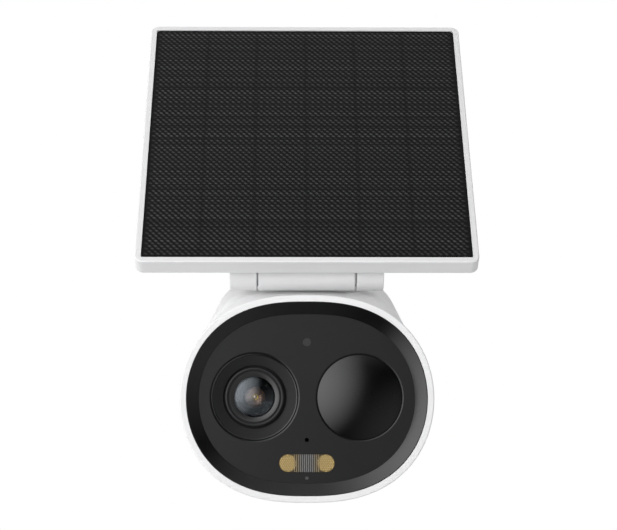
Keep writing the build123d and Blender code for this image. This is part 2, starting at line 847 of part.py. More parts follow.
def make_lens_retainer():
    front = barrel_face_y - retainer_proud
    return tube_y(retainer_outer, retainer_inner, front, glass_seat_y, lens_x, lens_z)


def make_lens_holder():
    body = slab(lens_x, lens_z, 2 * holder_half_width, 2 * holder_half_height, holder_y, sensor_board_y)
    body += rod_y(holder_collar_radius, holder_collar_y, holder_y, lens_x, lens_z)
    slot_length, slot_height = 2 * filter_slot_half_length, 2 * filter_slot_half_height
    bay_y = sensor_board_y - sensor_bay_depth
    return body - [
        rod_y(barrel_tail_radius, holder_collar_y - cut_over, barrel_back_y, lens_x, lens_z),
        rod_y(holder_bore_radius, barrel_back_y - cut_over, bay_y + cut_over / 2, lens_x, lens_z),
        slab(lens_x, lens_z, slot_length, slot_height, filter_y, filter_y + filter_slot_depth),
        slab(lens_x, lens_z, 2 * sensor_bay_half, 2 * sensor_bay_half, bay_y, sensor_board_y + cut_over),
    ]


def filter_windows(depth):
    """The frame's two square panes, the infrared one in front of the sensor at rest."""
    y0 = filter_y + (filter_slot_depth - depth) / 2
    places = (lens_x, lens_x - filter_travel)
    return [slab(x, lens_z, filter_window, filter_window, y0, y0 + depth) for x in places]


def make_ir_filter_frame():
    low, high = lens_x - filter_travel - filter_end, lens_x + filter_end
    front, back = filter_y + filter_play, filter_y + filter_slot_depth - filter_play
    frame = slab((low + high) / 2, lens_z, high - low, filter_height, front, back)
    return frame - filter_windows(filter_slot_depth + cut_over)


def make_filter_actuator():
    """Winding between two cheeks, on top of the lens holder."""
    low, high = lens_x + actuator_cheek, lens_x + actuator_cheek + actuator_length
    base = lens_z + holder_half_height
    coil = block(low, high, holder_y, holder_y + actuator_depth, base, base + actuator_height)
    cheeks = []
    for x in (low, high - actuator_cheek):
        top, back = base + actuator_cheek_height, holder_y + actuator_cheek_depth
        cheeks.append(block(x, x + actuator_cheek, holder_y, back, base, top))
    return coil + cheeks


def make_image_sensor():
    front = sensor_board_y - image_sensor_depth
    return slab(lens_x, lens_z, image_sensor_width, image_sensor_height, front, sensor_board_y)


def make_sensor_board():
    return slab(lens_x, lens_z, sensor_board_side, sensor_board_side, sensor_board_y, sensor_board_back_y)


# ---- Motion sensor, lights and microphone -------------------------------------------------
def make_pir_dome():
    """Domed Fresnel lens with a skirt, and a flange behind the plate."""
    apex_y = plate_y - dome_root - dome_crown
    flange_y = plate_back_y + dome_flange_height
    dome = crowned_disc(dome_radius, apex_y, flange_y, dome_crown, 0, dome_x, dome_z)
    dome += rod_y(dome_radius + dome_flange, plate_back_y, flange_y, dome_x, dome_z)
    inner, crown = dome_radius - dome_wall, dome_crown - dome_wall
    return dome - crowned_disc(inner, apex_y + dome_wall, flange_y + cut_over, crown, 0, dome_x, dome_z)


def make_pir_baffle():
    outer = dome_radius + dome_flange
    front = plate_back_y + dome_flange_height
    return tube_y(outer, outer - baffle_wall, front, front_board_y, dome_x, dome_z)


def make_pir_sensor():
    front = front_board_y - pir_can_height
    can = rod_y(pir_can_radius, front, front_board_y, dome_x, dome_z)
    can += rod_y(pir_can_radius + pir_base, front_board_y - pir_base_height, front_board_y, dome_x, dome_z)
    side = 2 * pir_window_half
    return can - slab(dome_x, dome_z, side, side, front - cut_over, front + pir_window_depth)


def make_front_board():
    before, behind = front_board_y - cut_over, front_board_back_y + cut_over
    board = oval_block(front_board_width, front_board_height, front_board_y, front_board_back_y)
    holes = [rod_y(barrel_tail_radius + cut_over, before, behind, lens_x, lens_z)]
    holes += [rod_y(screw_radius + fit_gap, before, behind, x, z) for x, z in standoff_spots()]
    return board - holes


def make_spotlight_window():
    length, height = spotlight_length - 2 * joint_gap, spotlight_height - 2 * joint_gap
    window = stadium(length, height, plate_y, plate_back_y, 0, spotlight_z)
    length, height = spotlight_length + 2 * spotlight_flange, spotlight_height + 2 * spotlight_flange
    flange_y = plate_back_y + spotlight_flange_height
    return window + stadium(length, height, plate_back_y, flange_y, 0, spotlight_z)


def make_spotlight_leds():
    reach = spotlight_length / 2 - led_radius - led_margin
    return [rod_y(led_radius, led_front_y, led_back_y, x, spotlight_z) for x in (-reach, reach)]


def make_spotlight_holder():
    return stadium(spotlight_length, spotlight_height, led_back_y, front_board_y, 0, spotlight_z)


def make_light_window():
    back = front_board_y - light_sensor_height - fit_gap
    return rod_y(light_window_radius - window_slip, plate_y, back, 0, light_window_z)


def make_light_sensor():
    front = front_board_y - light_sensor_height
    return slab(0, light_window_z, light_sensor_side, light_sensor_side, front, front_board_y)


def make_status_pipe():
    back = front_board_y - status_led_height - fit_gap
    pipe = rod_y(status_radius - window_slip, plate_y, back, 0, status_z)
    flange_y = plate_back_y + spotlight_flange_height
    return pipe + rod_y(status_radius + status_flange, plate_back_y, flange_y, 0, status_z)


def make_status_led():
    front = front_board_y - status_led_height
    return slab(0, status_z, status_led_width, status_led_length, front, front_board_y)


def make_microphone():
    front = front_board_y - microphone_height
    can = slab(0, microphone_z, microphone_width, microphone_length, front, front_board_y)
    return can - rod_y(microphone_port, front - cut_over, front + microphone_height / 2, 0, microphone_z)


def make_microphone_seal():
    back = front_board_y - microphone_height
    return tube_y(microphone_seal_radius, microphone_hole, plate_back_y, back, 0, microphone_z)


# ---- Battery, chassis and main board ------------------------------------------------------
def make_chassis():
    """Plate in front of the battery with an end wall at each side and posts for the main board."""
    plate = oval_prism(chassis_inset, chassis_y, chassis_back_y)
    adds = [rod_y(boss_radius, chassis_y, chassis_back_y, x, z) for x, z in chassis_boss_spots()]
    near = cell_length / 2 + contact_thickness
    tall = cell_spacing / 2 + cell_radius
    end_y = cell_y + board_standoff
    for side in (-1, 1):
        adds.append(block(side * near, side * (near + chassis_side), chassis_back_y, end_y, -tall, tall))
    adds += [rod_y(standoff_radius, main_board_back_y, chassis_y, x, z) for x, z in board_spots()]
    before, behind = main_board_back_y - cut_over, chassis_back_y + cut_over
    holes = [rod_y(screw_radius + fit_gap, before, behind, x, z) for x, z in chassis_boss_spots()]
    holes += [rod_y(screw_radius, before, behind, x, z) for x, z in board_spots()]
    return plate + adds - holes


def make_battery_cells():
    cells = []
    for z in (-cell_spacing / 2, cell_spacing / 2):
        cell = rod_x(cell_radius, -cell_length / 2, cell_length / 2, cell_y, z)
        cells.append(fillet(cell.edges().filter_by(GeomType.CIRCLE), cell_edge))
    return cells


def make_battery_contacts():
    near, far = cell_length / 2, cell_length / 2 + contact_thickness
    tall = cell_spacing / 2 + contact_overlap
    front, back = cell_y - contact_ahead, cell_y + contact_behind
    return [block(side * near, side * far, front, back, -tall, tall) for side in (-1, 1)]


def make_main_board():
    half = main_board_width / 2
    board = block(-half, half, main_board_y, main_board_back_y, main_board_bottom, main_board_top)
    before, behind = main_board_y - cut_over, main_board_back_y + cut_over
    return board - [rod_y(screw_radius + fit_gap, before, behind, x, z) for x, z in board_spots()]


def make_connectors():
    """Board-to-board connector behind the image sensor, and the panel lead's connector."""
    x, z, width, height = sensor_connector
    low = lens_x + x
    front = main_board_y - connector_height
    joined = block(low, low + width, front, main_board_y, z, z + height)
    top = main_board_top - lead_connector_inset
    half, front = lead_connector_width / 2, main_board_y - lead_connector_height
    return joined, block(-half, half, front, main_board_y, top - lead_connector_length, top)


def make_main_chips():
    chips = []
    for x, z, width, height, thickness in board_chips:
        chips.append(slab(x, z, width, height, main_board_y - thickness, main_board_y))
    return chips


def make_wifi_antenna():
    top = half_height - antenna_drop
    middle = top - antenna_width / 2
    return slab(0, middle, antenna_length, antenna_width, chassis_y - antenna_thickness, chassis_y)


# ---- Service port, speaker and wall fixing ------------------------------------------------
def make_service_flap():
    """Flap with its hinge bead at the rear and a finger pull at the front."""
    half, near = flap_length / 2 - flap_gap, flap_y - flap_depth / 2 + flap_gap
    flap = block(-half, half, near, flap_hinge_y, flap_face_z, flap_inner_z)
    flap += rod_x(flap_thickness / 2, -half, half, flap_hinge_y, flap_hinge_z)
    half, low = flap_pull_length / 2, flap_face_z - flap_pull_height
    return flap + block(-half, half, near, near + flap_pull_width, low, flap_face_z)


def make_usb_port():
    """Connector shell, closed at its inner end, with the tongue inside."""
    low = port_floor_z + usb_recess
    high = low + usb_length
    shell = pad(usb_x, flap_y, usb_width, usb_height, low, high)
    shell = fillet(shell.edges().filter_by(Axis.Z), usb_height * 0.45)
    width, height = usb_width - 2 * usb_wall, usb_height - 2 * usb_wall
    inner = pad(usb_x, flap_y, width, height, low - cut_over, high - cut_over)
    shell -= fillet(inner.edges().filter_by(Axis.Z), height * 0.45)
    tongue_low = low + usb_tongue_recess
    return shell + pad(usb_x, flap_y, usb_tongue_width, usb_tongue_height, tongue_low, high - cut_over / 2)


def make_card_socket():
    low = port_inner_z + fit_gap
    middle = main_board_y - socket_height / 2
    socket = pad(card_x, middle, socket_width, socket_height, low, low + socket_length)
    width = card_width - 2 * card_room
    return socket - pad(card_x, middle, width, card_slit, low - cut_over, low + socket_length - cut_over)


def make_button(radius, x):
    low = port_inner_z + button_rest
    cap = rod_z(radius, port_floor_z + button_recess, low + fit_gap, x, button_y)
    return cap + rod_z(radius + button_flange, low, low + button_flange_height, x, button_y)


def make_button_switches():
    low = port_inner_z + button_rest + button_flange_height + button_travel + fit_gap
    middle = main_board_y - switch_depth / 2
    return [pad(x, middle, switch_width, switch_depth, low, low + switch_height) for x in (power_x, reset_x)]


def make_speaker():
    low = speaker_seat_z + speaker_gasket
    return pad(0, speaker_y, speaker_length, speaker_width, low, low + speaker_height)


def make_speaker_gasket():
    low, high = speaker_seat_z, speaker_seat_z + speaker_gasket
    ring = pad(0, speaker_y, speaker_length, speaker_width, low, high)
    long, deep = speaker_length - 2 * speaker_gasket_width, speaker_width - 2 * speaker_gasket_width
    return ring - pad(0, speaker_y, long, deep, low - cut_over, high + cut_over)


def make_mount_insert():
    insert = rod_y(insert_radius - insert_press, -insert_length, 0)
    return insert - rod_y(insert_bore_radius, -insert_length - cut_over, cut_over)


# ---- Solar panel, in its own frame: X across, Y up the slope, Z out of the face ------------
def panel_block(margin, z0, z1, corner):
    """Square block of the panel's outline less a margin, with rounded corners."""
    side = panel_side - 2 * margin
    return fillet(pad(0, panel_middle, side, side, z0, z1).edges().filter_by(Axis.Z), corner)


def panel_screw_spots():
    """Bosses on the ledge at the corners and at the middle of each side edge."""
    inset = panel_rim + panel_shelf - panel_boss_inset
    across = panel_side / 2 - inset
    return [(x, panel_middle + y) for x in (-across, across) for y in (-across, 0, across)]


def make_panel_frame():
    frame = panel_block(0, panel_stand_off, panel_top, panel_corner)
    faces = frame.faces().sort_by(Axis.Z)
    frame = fillet(faces[-1].edges() + faces[0].edges(), panel_edge_fillet)
    frame -= [
        panel_block(panel_rim, backing_z, panel_top + cut_over, pocket_corner),
        panel_block(panel_rim, panel_stand_off - cut_over, cover_z, pocket_corner),
        panel_block(panel_rim + panel_shelf, panel_stand_off, panel_top, pocket_corner),
    ]
    spots = panel_screw_spots()
    tip = panel_stand_off + panel_screw_head + panel_screw_length
    bosses = [rod_z(panel_boss_radius, cover_z, backing_z, x, y) for x, y in spots]
    return frame + bosses - [rod_z(panel_screw_radius, cover_z - cut_over, tip, x, y) for x, y in spots]


def hinge_ear(side):
    """Ear on one side of the barrel, with its foot on the cover."""
    inner, outer = side * ear_inner, side * ear_outer
    ear = rod_x(knuckle_radius, inner, outer)
    ear += block(inner, outer, -ear_web_front, knuckle_radius, 0, panel_stand_off)
    return fillet(ear.edges().filter_by(GeomType.CIRCLE), ear_edge)


def make_back_cover():
    """Cover with the two hinge ears."""
    cover = panel_block(panel_rim + joint_gap, panel_stand_off, cover_z, pocket_corner - joint_gap)
    cuts = []
    for side in (-1, 1):
        cuts.append(rod_x(pin_radius, side * (ear_inner - cut_over), side * (ear_outer + cut_over)))
        seat = side * (ear_outer - end_cap_depth)
        cuts.append(rod_x(end_cap_radius, seat, side * (ear_outer + cut_over)))
    top = cover_z + cut_over
    cuts.append(rod_z(pin_bore_radius, 0, top, lead_x, 0))
    low, high = lead_x - pin_bore_radius, lead_x + pin_bore_radius
    cuts.append(block(low, high, 0, cover_slot_length, panel_stand_off - cut_over, top))
    head_top = panel_stand_off + panel_screw_head
    for x, y in panel_screw_spots():
        cuts.append(rod_z(panel_screw_radius + fit_gap, panel_stand_off, top, x, y))
        cuts.append(rod_z(panel_screw_head_radius + fit_gap, panel_stand_off - cut_over, head_top, x, y))
    return cover + [hinge_ear(-1), hinge_ear(1)] - cuts


def make_hinge_pins():
    pins = []
    cap = ear_outer - end_cap_depth
    for low, high in ((-cap, -pin_inner), (pin_inner, lead_x - lead_bore_radius)):
        pin = rod_x(pin_radius - pin_press, low, high)
        pins.append(pin - rod_x(pin_bore_radius, low - cut_over, high + cut_over))
    return pins


def make_washers():
    rings = []
    for side in (-1, 1):
        inner, outer = side * (half_barrel + washer_gap), side * (ear_inner - washer_gap)
        ring = rod_x(washer_radius, inner, outer)
        rings.append(ring - rod_x(pin_radius + washer_gap, inner - side, outer + side))
    return rings


def make_end_caps():
    seat = ear_outer - end_cap_depth
    return [rod_x(end_cap_radius - joint_gap, side * seat, side * ear_outer) for side in (-1, 1)]


def make_laminate():
    top = laminate_z + laminate_thickness
    return panel_block(panel_rim + joint_gap, laminate_z, top, pocket_corner - joint_gap)


def make_solar_cells():
    length = panel_side - 2 * (panel_rim + cell_margin)
    pitch = (length + cell_gap) / cell_columns
    width = pitch - cell_gap
    cells = []
    for k in range(cell_columns):
        x = (width - length) / 2 + pitch * k
        cells.append(pad(x, panel_middle, width, length, laminate_z - cell_thickness, laminate_z))
    return cells


def make_backing_board():
    top = backing_z + backing_thickness
    return panel_block(panel_rim + joint_gap, backing_z, top, pocket_corner - joint_gap)


def make_charge_board():
    middle = charge_board_rise + charge_board_width / 2
    top = cover_z + charge_board_thickness
    return pad(charge_board_x, middle, charge_board_length, charge_board_width, cover_z, top)


def make_panel_screws():
    seat = panel_stand_off + panel_screw_head
    size = (panel_screw_length, panel_screw_head_radius, panel_screw_head, panel_screw_radius)
    flipped = Rot(180, 0, 0) * screw(*size)
    return [Pos(x, y, seat) * flipped for x, y in panel_screw_spots()]


def make_panel_lead():
    """Wire from the charge board through the right-hand ear and pin to the hinge's middle."""
    top = cover_z + lead_radius + joint_gap
    start = (pin_inner + lead_end_gap, 0, 0)
    return lead([start, (lead_x, 0, 0), (lead_x, 0, top), (lead_x, lead_reach, top)], lead_radius)


# ---- Writing the nodes --------------------------------------------------------------------
def save_shells():
    save("rear_housing", make_rear_housing())
    save("front_shell", make_front_shell())
    save("housing_gasket", gasket_ring(joint_gap, seam_y, seam_y + gasket_depth))
    save("front_bezel", make_front_bezel())
    save("front_plate", make_front_plate())


def save_lens():
    save("lens_trim_ring", make_lens_trim_ring())
    save("lens_barrel", make_lens_barrel())
    save("lens_front_glass", make_front_glass())
    save("lens_retainer", make_lens_retainer())
    save("lens_elements", *make_lens_elements())
    save("lens_holder", make_lens_holder())
    save("ir_filter_frame", make_ir_filter_frame())
    save("ir_filter_glass", *filter_windows(filter_glass))
    save("filter_actuator", make_filter_actuator())
    save("image_sensor", make_image_sensor())
    save("sensor_board", make_sensor_board())


def save_face_parts():
    save("pir_dome", make_pir_dome())
    save("pir_baffle", make_pir_baffle())
    save("pir_sensor", make_pir_sensor())
    save("front_board", make_front_board())
    save("spotlight_window", make_spotlight_window())
    save("spotlight_leds", *make_spotlight_leds())
    save("spotlight_holder", make_spotlight_holder())
    save("light_sensor_window", make_light_window())
    save("status_light_pipe", make_status_pipe())
    save("front_board_chips", make_light_sensor(), make_status_led())
    save("microphone", make_microphone())
    save("microphone_seal", make_microphone_seal())


def save_inner_parts():
    save("chassis", make_chassis())
    save("battery_cells", *make_battery_cells())
    save("battery_contacts", *make_battery_contacts())
    save("main_board", make_main_board())
    save("main_board_chips", *make_main_chips())
    save("wifi_antenna", make_wifi_antenna())
    save("board_connectors", *make_connectors())
    save("body_lead", lead(lead_route(), lead_radius))
    save("service_flap", make_service_flap())
    save("usb_port", make_usb_port())
    save("card_socket", make_card_socket())
    save("power_button", make_button(power_radius, power_x))
    save("reset_button", make_button(reset_radius, reset_x))
    save("button_switches", *make_button_switches())
    save("speaker", make_speaker())
    save("speaker_gasket", make_speaker_gasket())
    save("mount_insert", make_mount_insert())


def save_screws():
    lug_y = seam_y - lug_thickness
    save("housing_screws", *[screw_back(x, lug_y, z, screw_length) for x, z in housing_boss_spots()])
    save("chassis_screws", *[screw_back(x, chassis_y, z, screw_length) for x, z in chassis_boss_spots()])
    board_screws = [screw_back(x, main_board_y, z, main_board_screw_length) for x, z in board_spots()]
    save("main_board_screws", *board_screws)
    post_screws = []
    for x, z in standoff_spots():
        post_screws.append(screw_forward(x, front_board_back_y, z, front_board_screw_length))
    save("front_board_screws", *post_screws)


def save_panel():
    save("panel_frame", on_panel(make_panel_frame()))
    save("panel_back_cover", on_panel(make_back_cover()))
    save("solar_laminate", on_panel(make_laminate()))
    save("solar_cells", *[on_panel(cell) for cell in make_solar_cells()])
    save("cell_backing_board", on_panel(make_backing_board()))
    save("charge_board", on_panel(make_charge_board()))
    save("panel_screws", *[on_panel(s) for s in make_panel_screws()])
    save("hinge_pins", *[on_panel(pin) for pin in make_hinge_pins()])
    save("hinge_washers", *[on_panel(ring) for ring in make_washers()])
    save("hinge_end_caps", *[on_panel(cap) for cap in make_end_caps()])
    save("panel_lead", on_panel(make_panel_lead()))


save_shells()
save_lens()
save_face_parts()
save_inner_parts()
save_screws()
save_panel()
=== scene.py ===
import json
import math

import bmesh
import bpy
from mathutils import Matrix, Vector


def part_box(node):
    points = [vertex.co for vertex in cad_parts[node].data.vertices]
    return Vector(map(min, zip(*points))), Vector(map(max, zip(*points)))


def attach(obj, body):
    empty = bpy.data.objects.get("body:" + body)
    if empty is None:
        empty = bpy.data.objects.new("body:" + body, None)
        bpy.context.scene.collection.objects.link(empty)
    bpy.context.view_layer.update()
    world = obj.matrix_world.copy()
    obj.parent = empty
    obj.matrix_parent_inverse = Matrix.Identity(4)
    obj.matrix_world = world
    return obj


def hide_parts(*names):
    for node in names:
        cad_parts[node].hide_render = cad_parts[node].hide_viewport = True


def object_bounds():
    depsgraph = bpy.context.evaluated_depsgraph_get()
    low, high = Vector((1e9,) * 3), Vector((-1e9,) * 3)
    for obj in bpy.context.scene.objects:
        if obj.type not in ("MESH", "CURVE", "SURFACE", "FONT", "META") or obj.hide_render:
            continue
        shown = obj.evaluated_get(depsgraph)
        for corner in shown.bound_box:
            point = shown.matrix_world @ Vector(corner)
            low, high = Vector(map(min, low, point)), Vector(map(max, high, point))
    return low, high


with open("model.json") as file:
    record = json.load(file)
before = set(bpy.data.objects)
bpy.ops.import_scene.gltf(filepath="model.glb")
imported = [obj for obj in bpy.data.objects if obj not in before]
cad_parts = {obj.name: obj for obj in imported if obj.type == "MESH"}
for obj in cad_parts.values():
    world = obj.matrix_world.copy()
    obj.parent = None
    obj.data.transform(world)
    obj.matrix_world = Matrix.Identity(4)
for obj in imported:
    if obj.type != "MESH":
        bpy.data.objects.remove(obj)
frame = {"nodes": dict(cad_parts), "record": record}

# A solar-powered security camera: satin white housings, a black face with a lens and a
# motion-sensor dome, and an embossed solar panel on a hinge. Blender's lengths are in metres;
# sizes written here are in millimetres and are multiplied by MM where they are used, and the
# relief of a finish is in thousandths of a millimetre. The softboxes, the floor and the scales
# of noises are in Blender's own units.

MM = 0.001
MICRON = 0.000001
MERGE_DISTANCE = 0.1 * MICRON
SHARP_ANGLE = math.radians(38)

cad_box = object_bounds()


# ---- Places taken from the frame ------------------------------------------------------------
def axis_of(node):
    """Place of a round node whose axis runs along Y, with its front face as y."""
    low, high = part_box(node)
    return Vector(((low.x + high.x) / 2, low.y, (low.z + high.z) / 2))


def depth_of(node):
    """Length of a node along Y, in millimetres."""
    low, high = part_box(node)
    return (high.y - low.y) / MM


def panel_frame_of(node):
    """Matrix from a flat panel node's own axes to the object's, and its size and thickness.

    The node's axes are X across, Y up the slope and Z out of its face, with the origin in
    the middle of the face."""
    mesh = frame["nodes"][node].data
    upward = [face for face in mesh.polygons if face.normal.z > 0]
    out = max(upward, key=lambda face: face.area).normal.normalized()
    across = Vector((1, 0, 0))
    up_slope = out.cross(across)
    heights = [vertex.co.dot(out) for vertex in mesh.vertices]
    reaches = [vertex.co.dot(up_slope) for vertex in mesh.vertices]
    low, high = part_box(node)
    middle = (low + high) / 2
    origin = middle + out * (max(heights) - middle.dot(out))
    matrix = Matrix((across, up_slope, out)).transposed().to_4x4()
    matrix.translation = origin
    size = ((high.x - low.x) / MM, (max(reaches) - min(reaches)) / MM)
    return matrix, size, (max(heights) - min(heights)) / MM


def face_matrix(place):
    """Matrix from a face's own axes, with X across, Y up and Z towards the front, to its place."""
    return Matrix.Translation(place) @ Matrix.Rotation(math.pi / 2, 4, "X")


# ---- Nodes that materials and geometry trees share ------------------------------------------
def add(tree, kind, **settings):
    """A new node with its properties set."""
    node = tree.nodes.new(kind)
    for label, value in settings.items():
        setattr(node, label, value)
    return node


def feed(tree, node, socket, source):
    """Sets a node's input to a number or vector, or links it from a socket."""
    if isinstance(source, bpy.types.NodeSocket):
        tree.links.new(source, node.inputs[socket])
    else:
        node.inputs[socket].default_value = source


def math_node(tree, operation, a, b=0.0):
    node = add(tree, "ShaderNodeMath", operation=operation)
    feed(tree, node, 0, a)
    feed(tree, node, 1, b)
    return node.outputs[0]


def distance_from(tree, value, middle):
    """How far a number lies from a middle value, either way."""
    return math_node(tree, "ABSOLUTE", math_node(tree, "SUBTRACT", value, middle))


def dot(tree, a, b):
    node = add(tree, "ShaderNodeVectorMath", operation="DOT_PRODUCT")
    feed(tree, node, 0, a)
    feed(tree, node, 1, b)
    return node.outputs["Value"]


def combine(tree, x=0.0, y=0.0, z=0.0):
    node = add(tree, "ShaderNodeCombineXYZ")
    for socket, source in zip(range(3), (x, y, z)):
        feed(tree, node, socket, source)
    return node.outputs[0]


def parts_of(tree, vector):
    """The X, Y and Z of a vector, as three sockets."""
    node = add(tree, "ShaderNodeSeparateXYZ")
    feed(tree, node, 0, vector)
    return node.outputs


def spread(tree, value, low, high, new_low, new_high):
    """Maps low..high to new_low..new_high, clamped."""
    node = add(tree, "ShaderNodeMapRange")
    for socket, source in zip(range(5), (value, low, high, new_low, new_high)):
        feed(tree, node, socket, source)
    return node.outputs["Result"]


def noise(tree, vector, scale, detail, roughness=0.5):
    node = add(tree, "ShaderNodeTexNoise")
    feed(tree, node, "Vector", vector)
    feed(tree, node, "Scale", scale)
    feed(tree, node, "Detail", detail)
    feed(tree, node, "Roughness", roughness)
    return node.outputs["Fac"]


def mix_numbers(tree, factor, first, second):
    """Goes from the first number to the second as the factor goes from 0 to 1."""
    node = add(tree, "ShaderNodeMix", data_type="FLOAT")
    for socket, source in ((0, factor), (2, first), (3, second)):
        feed(tree, node, socket, source)
    return node.outputs[0]


def mix_colours(tree, factor, first, second, blend="MIX"):
    """Goes from the first colour to the second, or to their product, with the factor."""
    node = add(tree, "ShaderNodeMix", data_type="RGBA", blend_type=blend)
    for socket, source in ((0, factor), (6, first), (7, second)):
        feed(tree, node, socket, source)
    return node.outputs[2]


# ---- Shader node groups ---------------------------------------------------------------------
GRAIN_SCALE = 2600.0
CLOUD_SCALE = 45.0
COARSE_SCALE = 0.31             # the grain's coarse part, as a share of the fine part's scale
COARSE_WEIGHT = 0.6
CLOUD_RANGE = (0.3, 0.7)        # what a cloudy noise mostly spans
CLOUD_TONES = (0.985, 1.0)
CLOUD_GLOSS = (-0.03, 0.03)


def group(name, inputs, outputs):
    """Empty shader group: inputs are {name: (kind, value)}, outputs are {name: kind}."""
    tree = bpy.data.node_groups.new(name, "ShaderNodeTree")
    for label, (kind, value) in inputs.items():
        socket = tree.interface.new_socket(label, in_out="INPUT", socket_type=kind)
        socket.default_value = value
    for label, kind in outputs.items():
        tree.interface.new_socket(label, in_out="OUTPUT", socket_type=kind)
    return tree, tree.nodes.new("NodeGroupInput").outputs, tree.nodes.new("NodeGroupOutput")


def moulded_grain():
    """Fine spark-eroded mould texture with a faint uneven gloss."""
    tree, sizes, end = group(
        "moulded_grain",
        {"Place": ("NodeSocketVector", (0, 0, 0)), "Grain": ("NodeSocketFloat", GRAIN_SCALE),
         "Cloud": ("NodeSocketFloat", CLOUD_SCALE)},
        {"Height": "NodeSocketFloat", "Tone": "NodeSocketFloat", "Gloss": "NodeSocketFloat"},
    )
    fine = noise(tree, sizes["Place"], sizes["Grain"], 3.0, 0.6)
    coarse_scale = math_node(tree, "MULTIPLY", sizes["Grain"], COARSE_SCALE)
    coarse = noise(tree, sizes["Place"], coarse_scale, 1.0)
    cloud = noise(tree, sizes["Place"], sizes["Cloud"], 3.0)
    weighted = math_node(tree, "MULTIPLY", coarse, COARSE_WEIGHT)
    feed(tree, end, "Height", math_node(tree, "ADD", fine, weighted))
    feed(tree, end, "Tone", spread(tree, cloud, *CLOUD_RANGE, *CLOUD_TONES))
    feed(tree, end, "Gloss", spread(tree, cloud, *CLOUD_RANGE, *CLOUD_GLOSS))
    return tree


def raised_pattern():
    """Height within a raised pattern, from 0 in its hollows to 1 at its tops."""
    tree, sizes, end = group(
        "raised_pattern",
        {"Place": ("NodeSocketVector", (0, 0, 0)), "Out": ("NodeSocketVector", (0, 0, 1)),
         "Hollow": ("NodeSocketFloat", 0.0), "Top": ("NodeSocketFloat", MM)},
        {"Height": "NodeSocketFloat"},
    )
    level = dot(tree, sizes["Place"], sizes["Out"])
    feed(tree, end, "Height", spread(tree, level, sizes["Hollow"], sizes["Top"], 0.0, 1.0))
    return tree


GRAIN = moulded_grain()
RAISED = raised_pattern()


# ---- Kinds of finish ------------------------------------------------------------------------
GRAIN_STRENGTH = 0.5
HOLLOW_SHARE = 0.2              # of a pattern's rise: up to here the painted shade of its hollow shows
TOP_SHARE = 0.95                # and from here its top's
PATTERN_CLOUD = 30.0
PATTERN_RELIEF = 4
PATTERN_STRENGTH = 0.4


def opaque(colour):
    return (*colour, 1.0)


def surface(name, colour, roughness, **plain):
    """A material with its Principled shader, Object coordinates and plain socket values set."""
    material = bpy.data.materials.new(name)
    material.use_nodes = True
    tree = material.node_tree
    shader = tree.nodes["Principled BSDF"]
    feed(tree, shader, "Base Color", opaque(colour))
    feed(tree, shader, "Roughness", roughness)
    for socket, value in plain.items():
        feed(tree, shader, socket.replace("_", " "), value)
    place = add(tree, "ShaderNodeTexCoord").outputs["Object"]
    return material, tree, shader, place


def add_group(tree, kind, **inputs):
    """A group placed in a material with its own values, and what it puts out."""
    node = add(tree, "ShaderNodeGroup", node_tree=kind)
    for label, source in inputs.items():
        feed(tree, node, label, source)
    return node.outputs


def bump(tree, shader, height, strength, relief):
    node = add(tree, "ShaderNodeBump")
    feed(tree, node, "Strength", strength)
    feed(tree, node, "Distance", relief * MICRON)
    feed(tree, node, "Height", height)
    feed(tree, shader, "Normal", node.outputs["Normal"])


def moulded(name, colour, roughness, grain=GRAIN_SCALE, relief=6, even_gloss=False, **plain):
    """Moulded or machined surface: grain in its relief, and a tone that is faintly uneven."""
    material, tree, shader, place = surface(name, colour, roughness, **plain)
    texture = add_group(tree, GRAIN, Place=place, Grain=grain)
    toned = mix_colours(tree, 1.0, opaque(colour), texture["Tone"], "MULTIPLY")
    feed(tree, shader, "Base Color", toned)
    if not even_gloss:
        feed(tree, shader, "Roughness", math_node(tree, "ADD", texture["Gloss"], roughness))
    bump(tree, shader, texture["Height"], GRAIN_STRENGTH, relief)
    return material


def glass(name, colour, roughness, **plain):
    """Clear material with a smooth surface: glass or a clear plastic."""
    return moulded(name, colour, roughness, grain=600.0, relief=0.01, even_gloss=True,
                   Transmission_Weight=1.0, **plain)


def shaded_in_hollows(name, matrix, rise, colours, roughness, tone=None, tint=None, **plain):
    """Finish whose colour and gloss change from the hollows of a raised pattern to its tops.

    The pattern stands on the plane Z = 0 of the matrix and reaches the rise. Colours and
    roughness are given for the hollows and the tops; the darker hollow colour is painted
    shade. The function tone(tree, place) may dim the tops, and tint(tree, place, colour)
    may change the whole colour."""
    material, tree, shader, place = surface(name, colours[1], roughness[1], **plain)
    out = matrix.col[2].to_3d().normalized()
    foot = out.dot(matrix.translation)
    height = add_group(tree, RAISED, Place=place, Out=out, Hollow=foot + HOLLOW_SHARE * rise,
                       Top=foot + TOP_SHARE * rise)["Height"]
    share = math_node(tree, "MULTIPLY", height, tone(tree, place)) if tone else height
    # painted shade: the hollows take the darker of the two colours
    colour = mix_colours(tree, share, opaque(colours[0]), opaque(colours[1]))
    feed(tree, shader, "Base Color", tint(tree, place, colour) if tint else colour)
    texture = add_group(tree, GRAIN, Place=place, Cloud=PATTERN_CLOUD)
    gloss = spread(tree, height, 0.0, 1.0, *roughness)
    feed(tree, shader, "Roughness", math_node(tree, "ADD", gloss, texture["Gloss"]))
    bump(tree, shader, texture["Height"], PATTERN_STRENGTH, PATTERN_RELIEF)
    return material


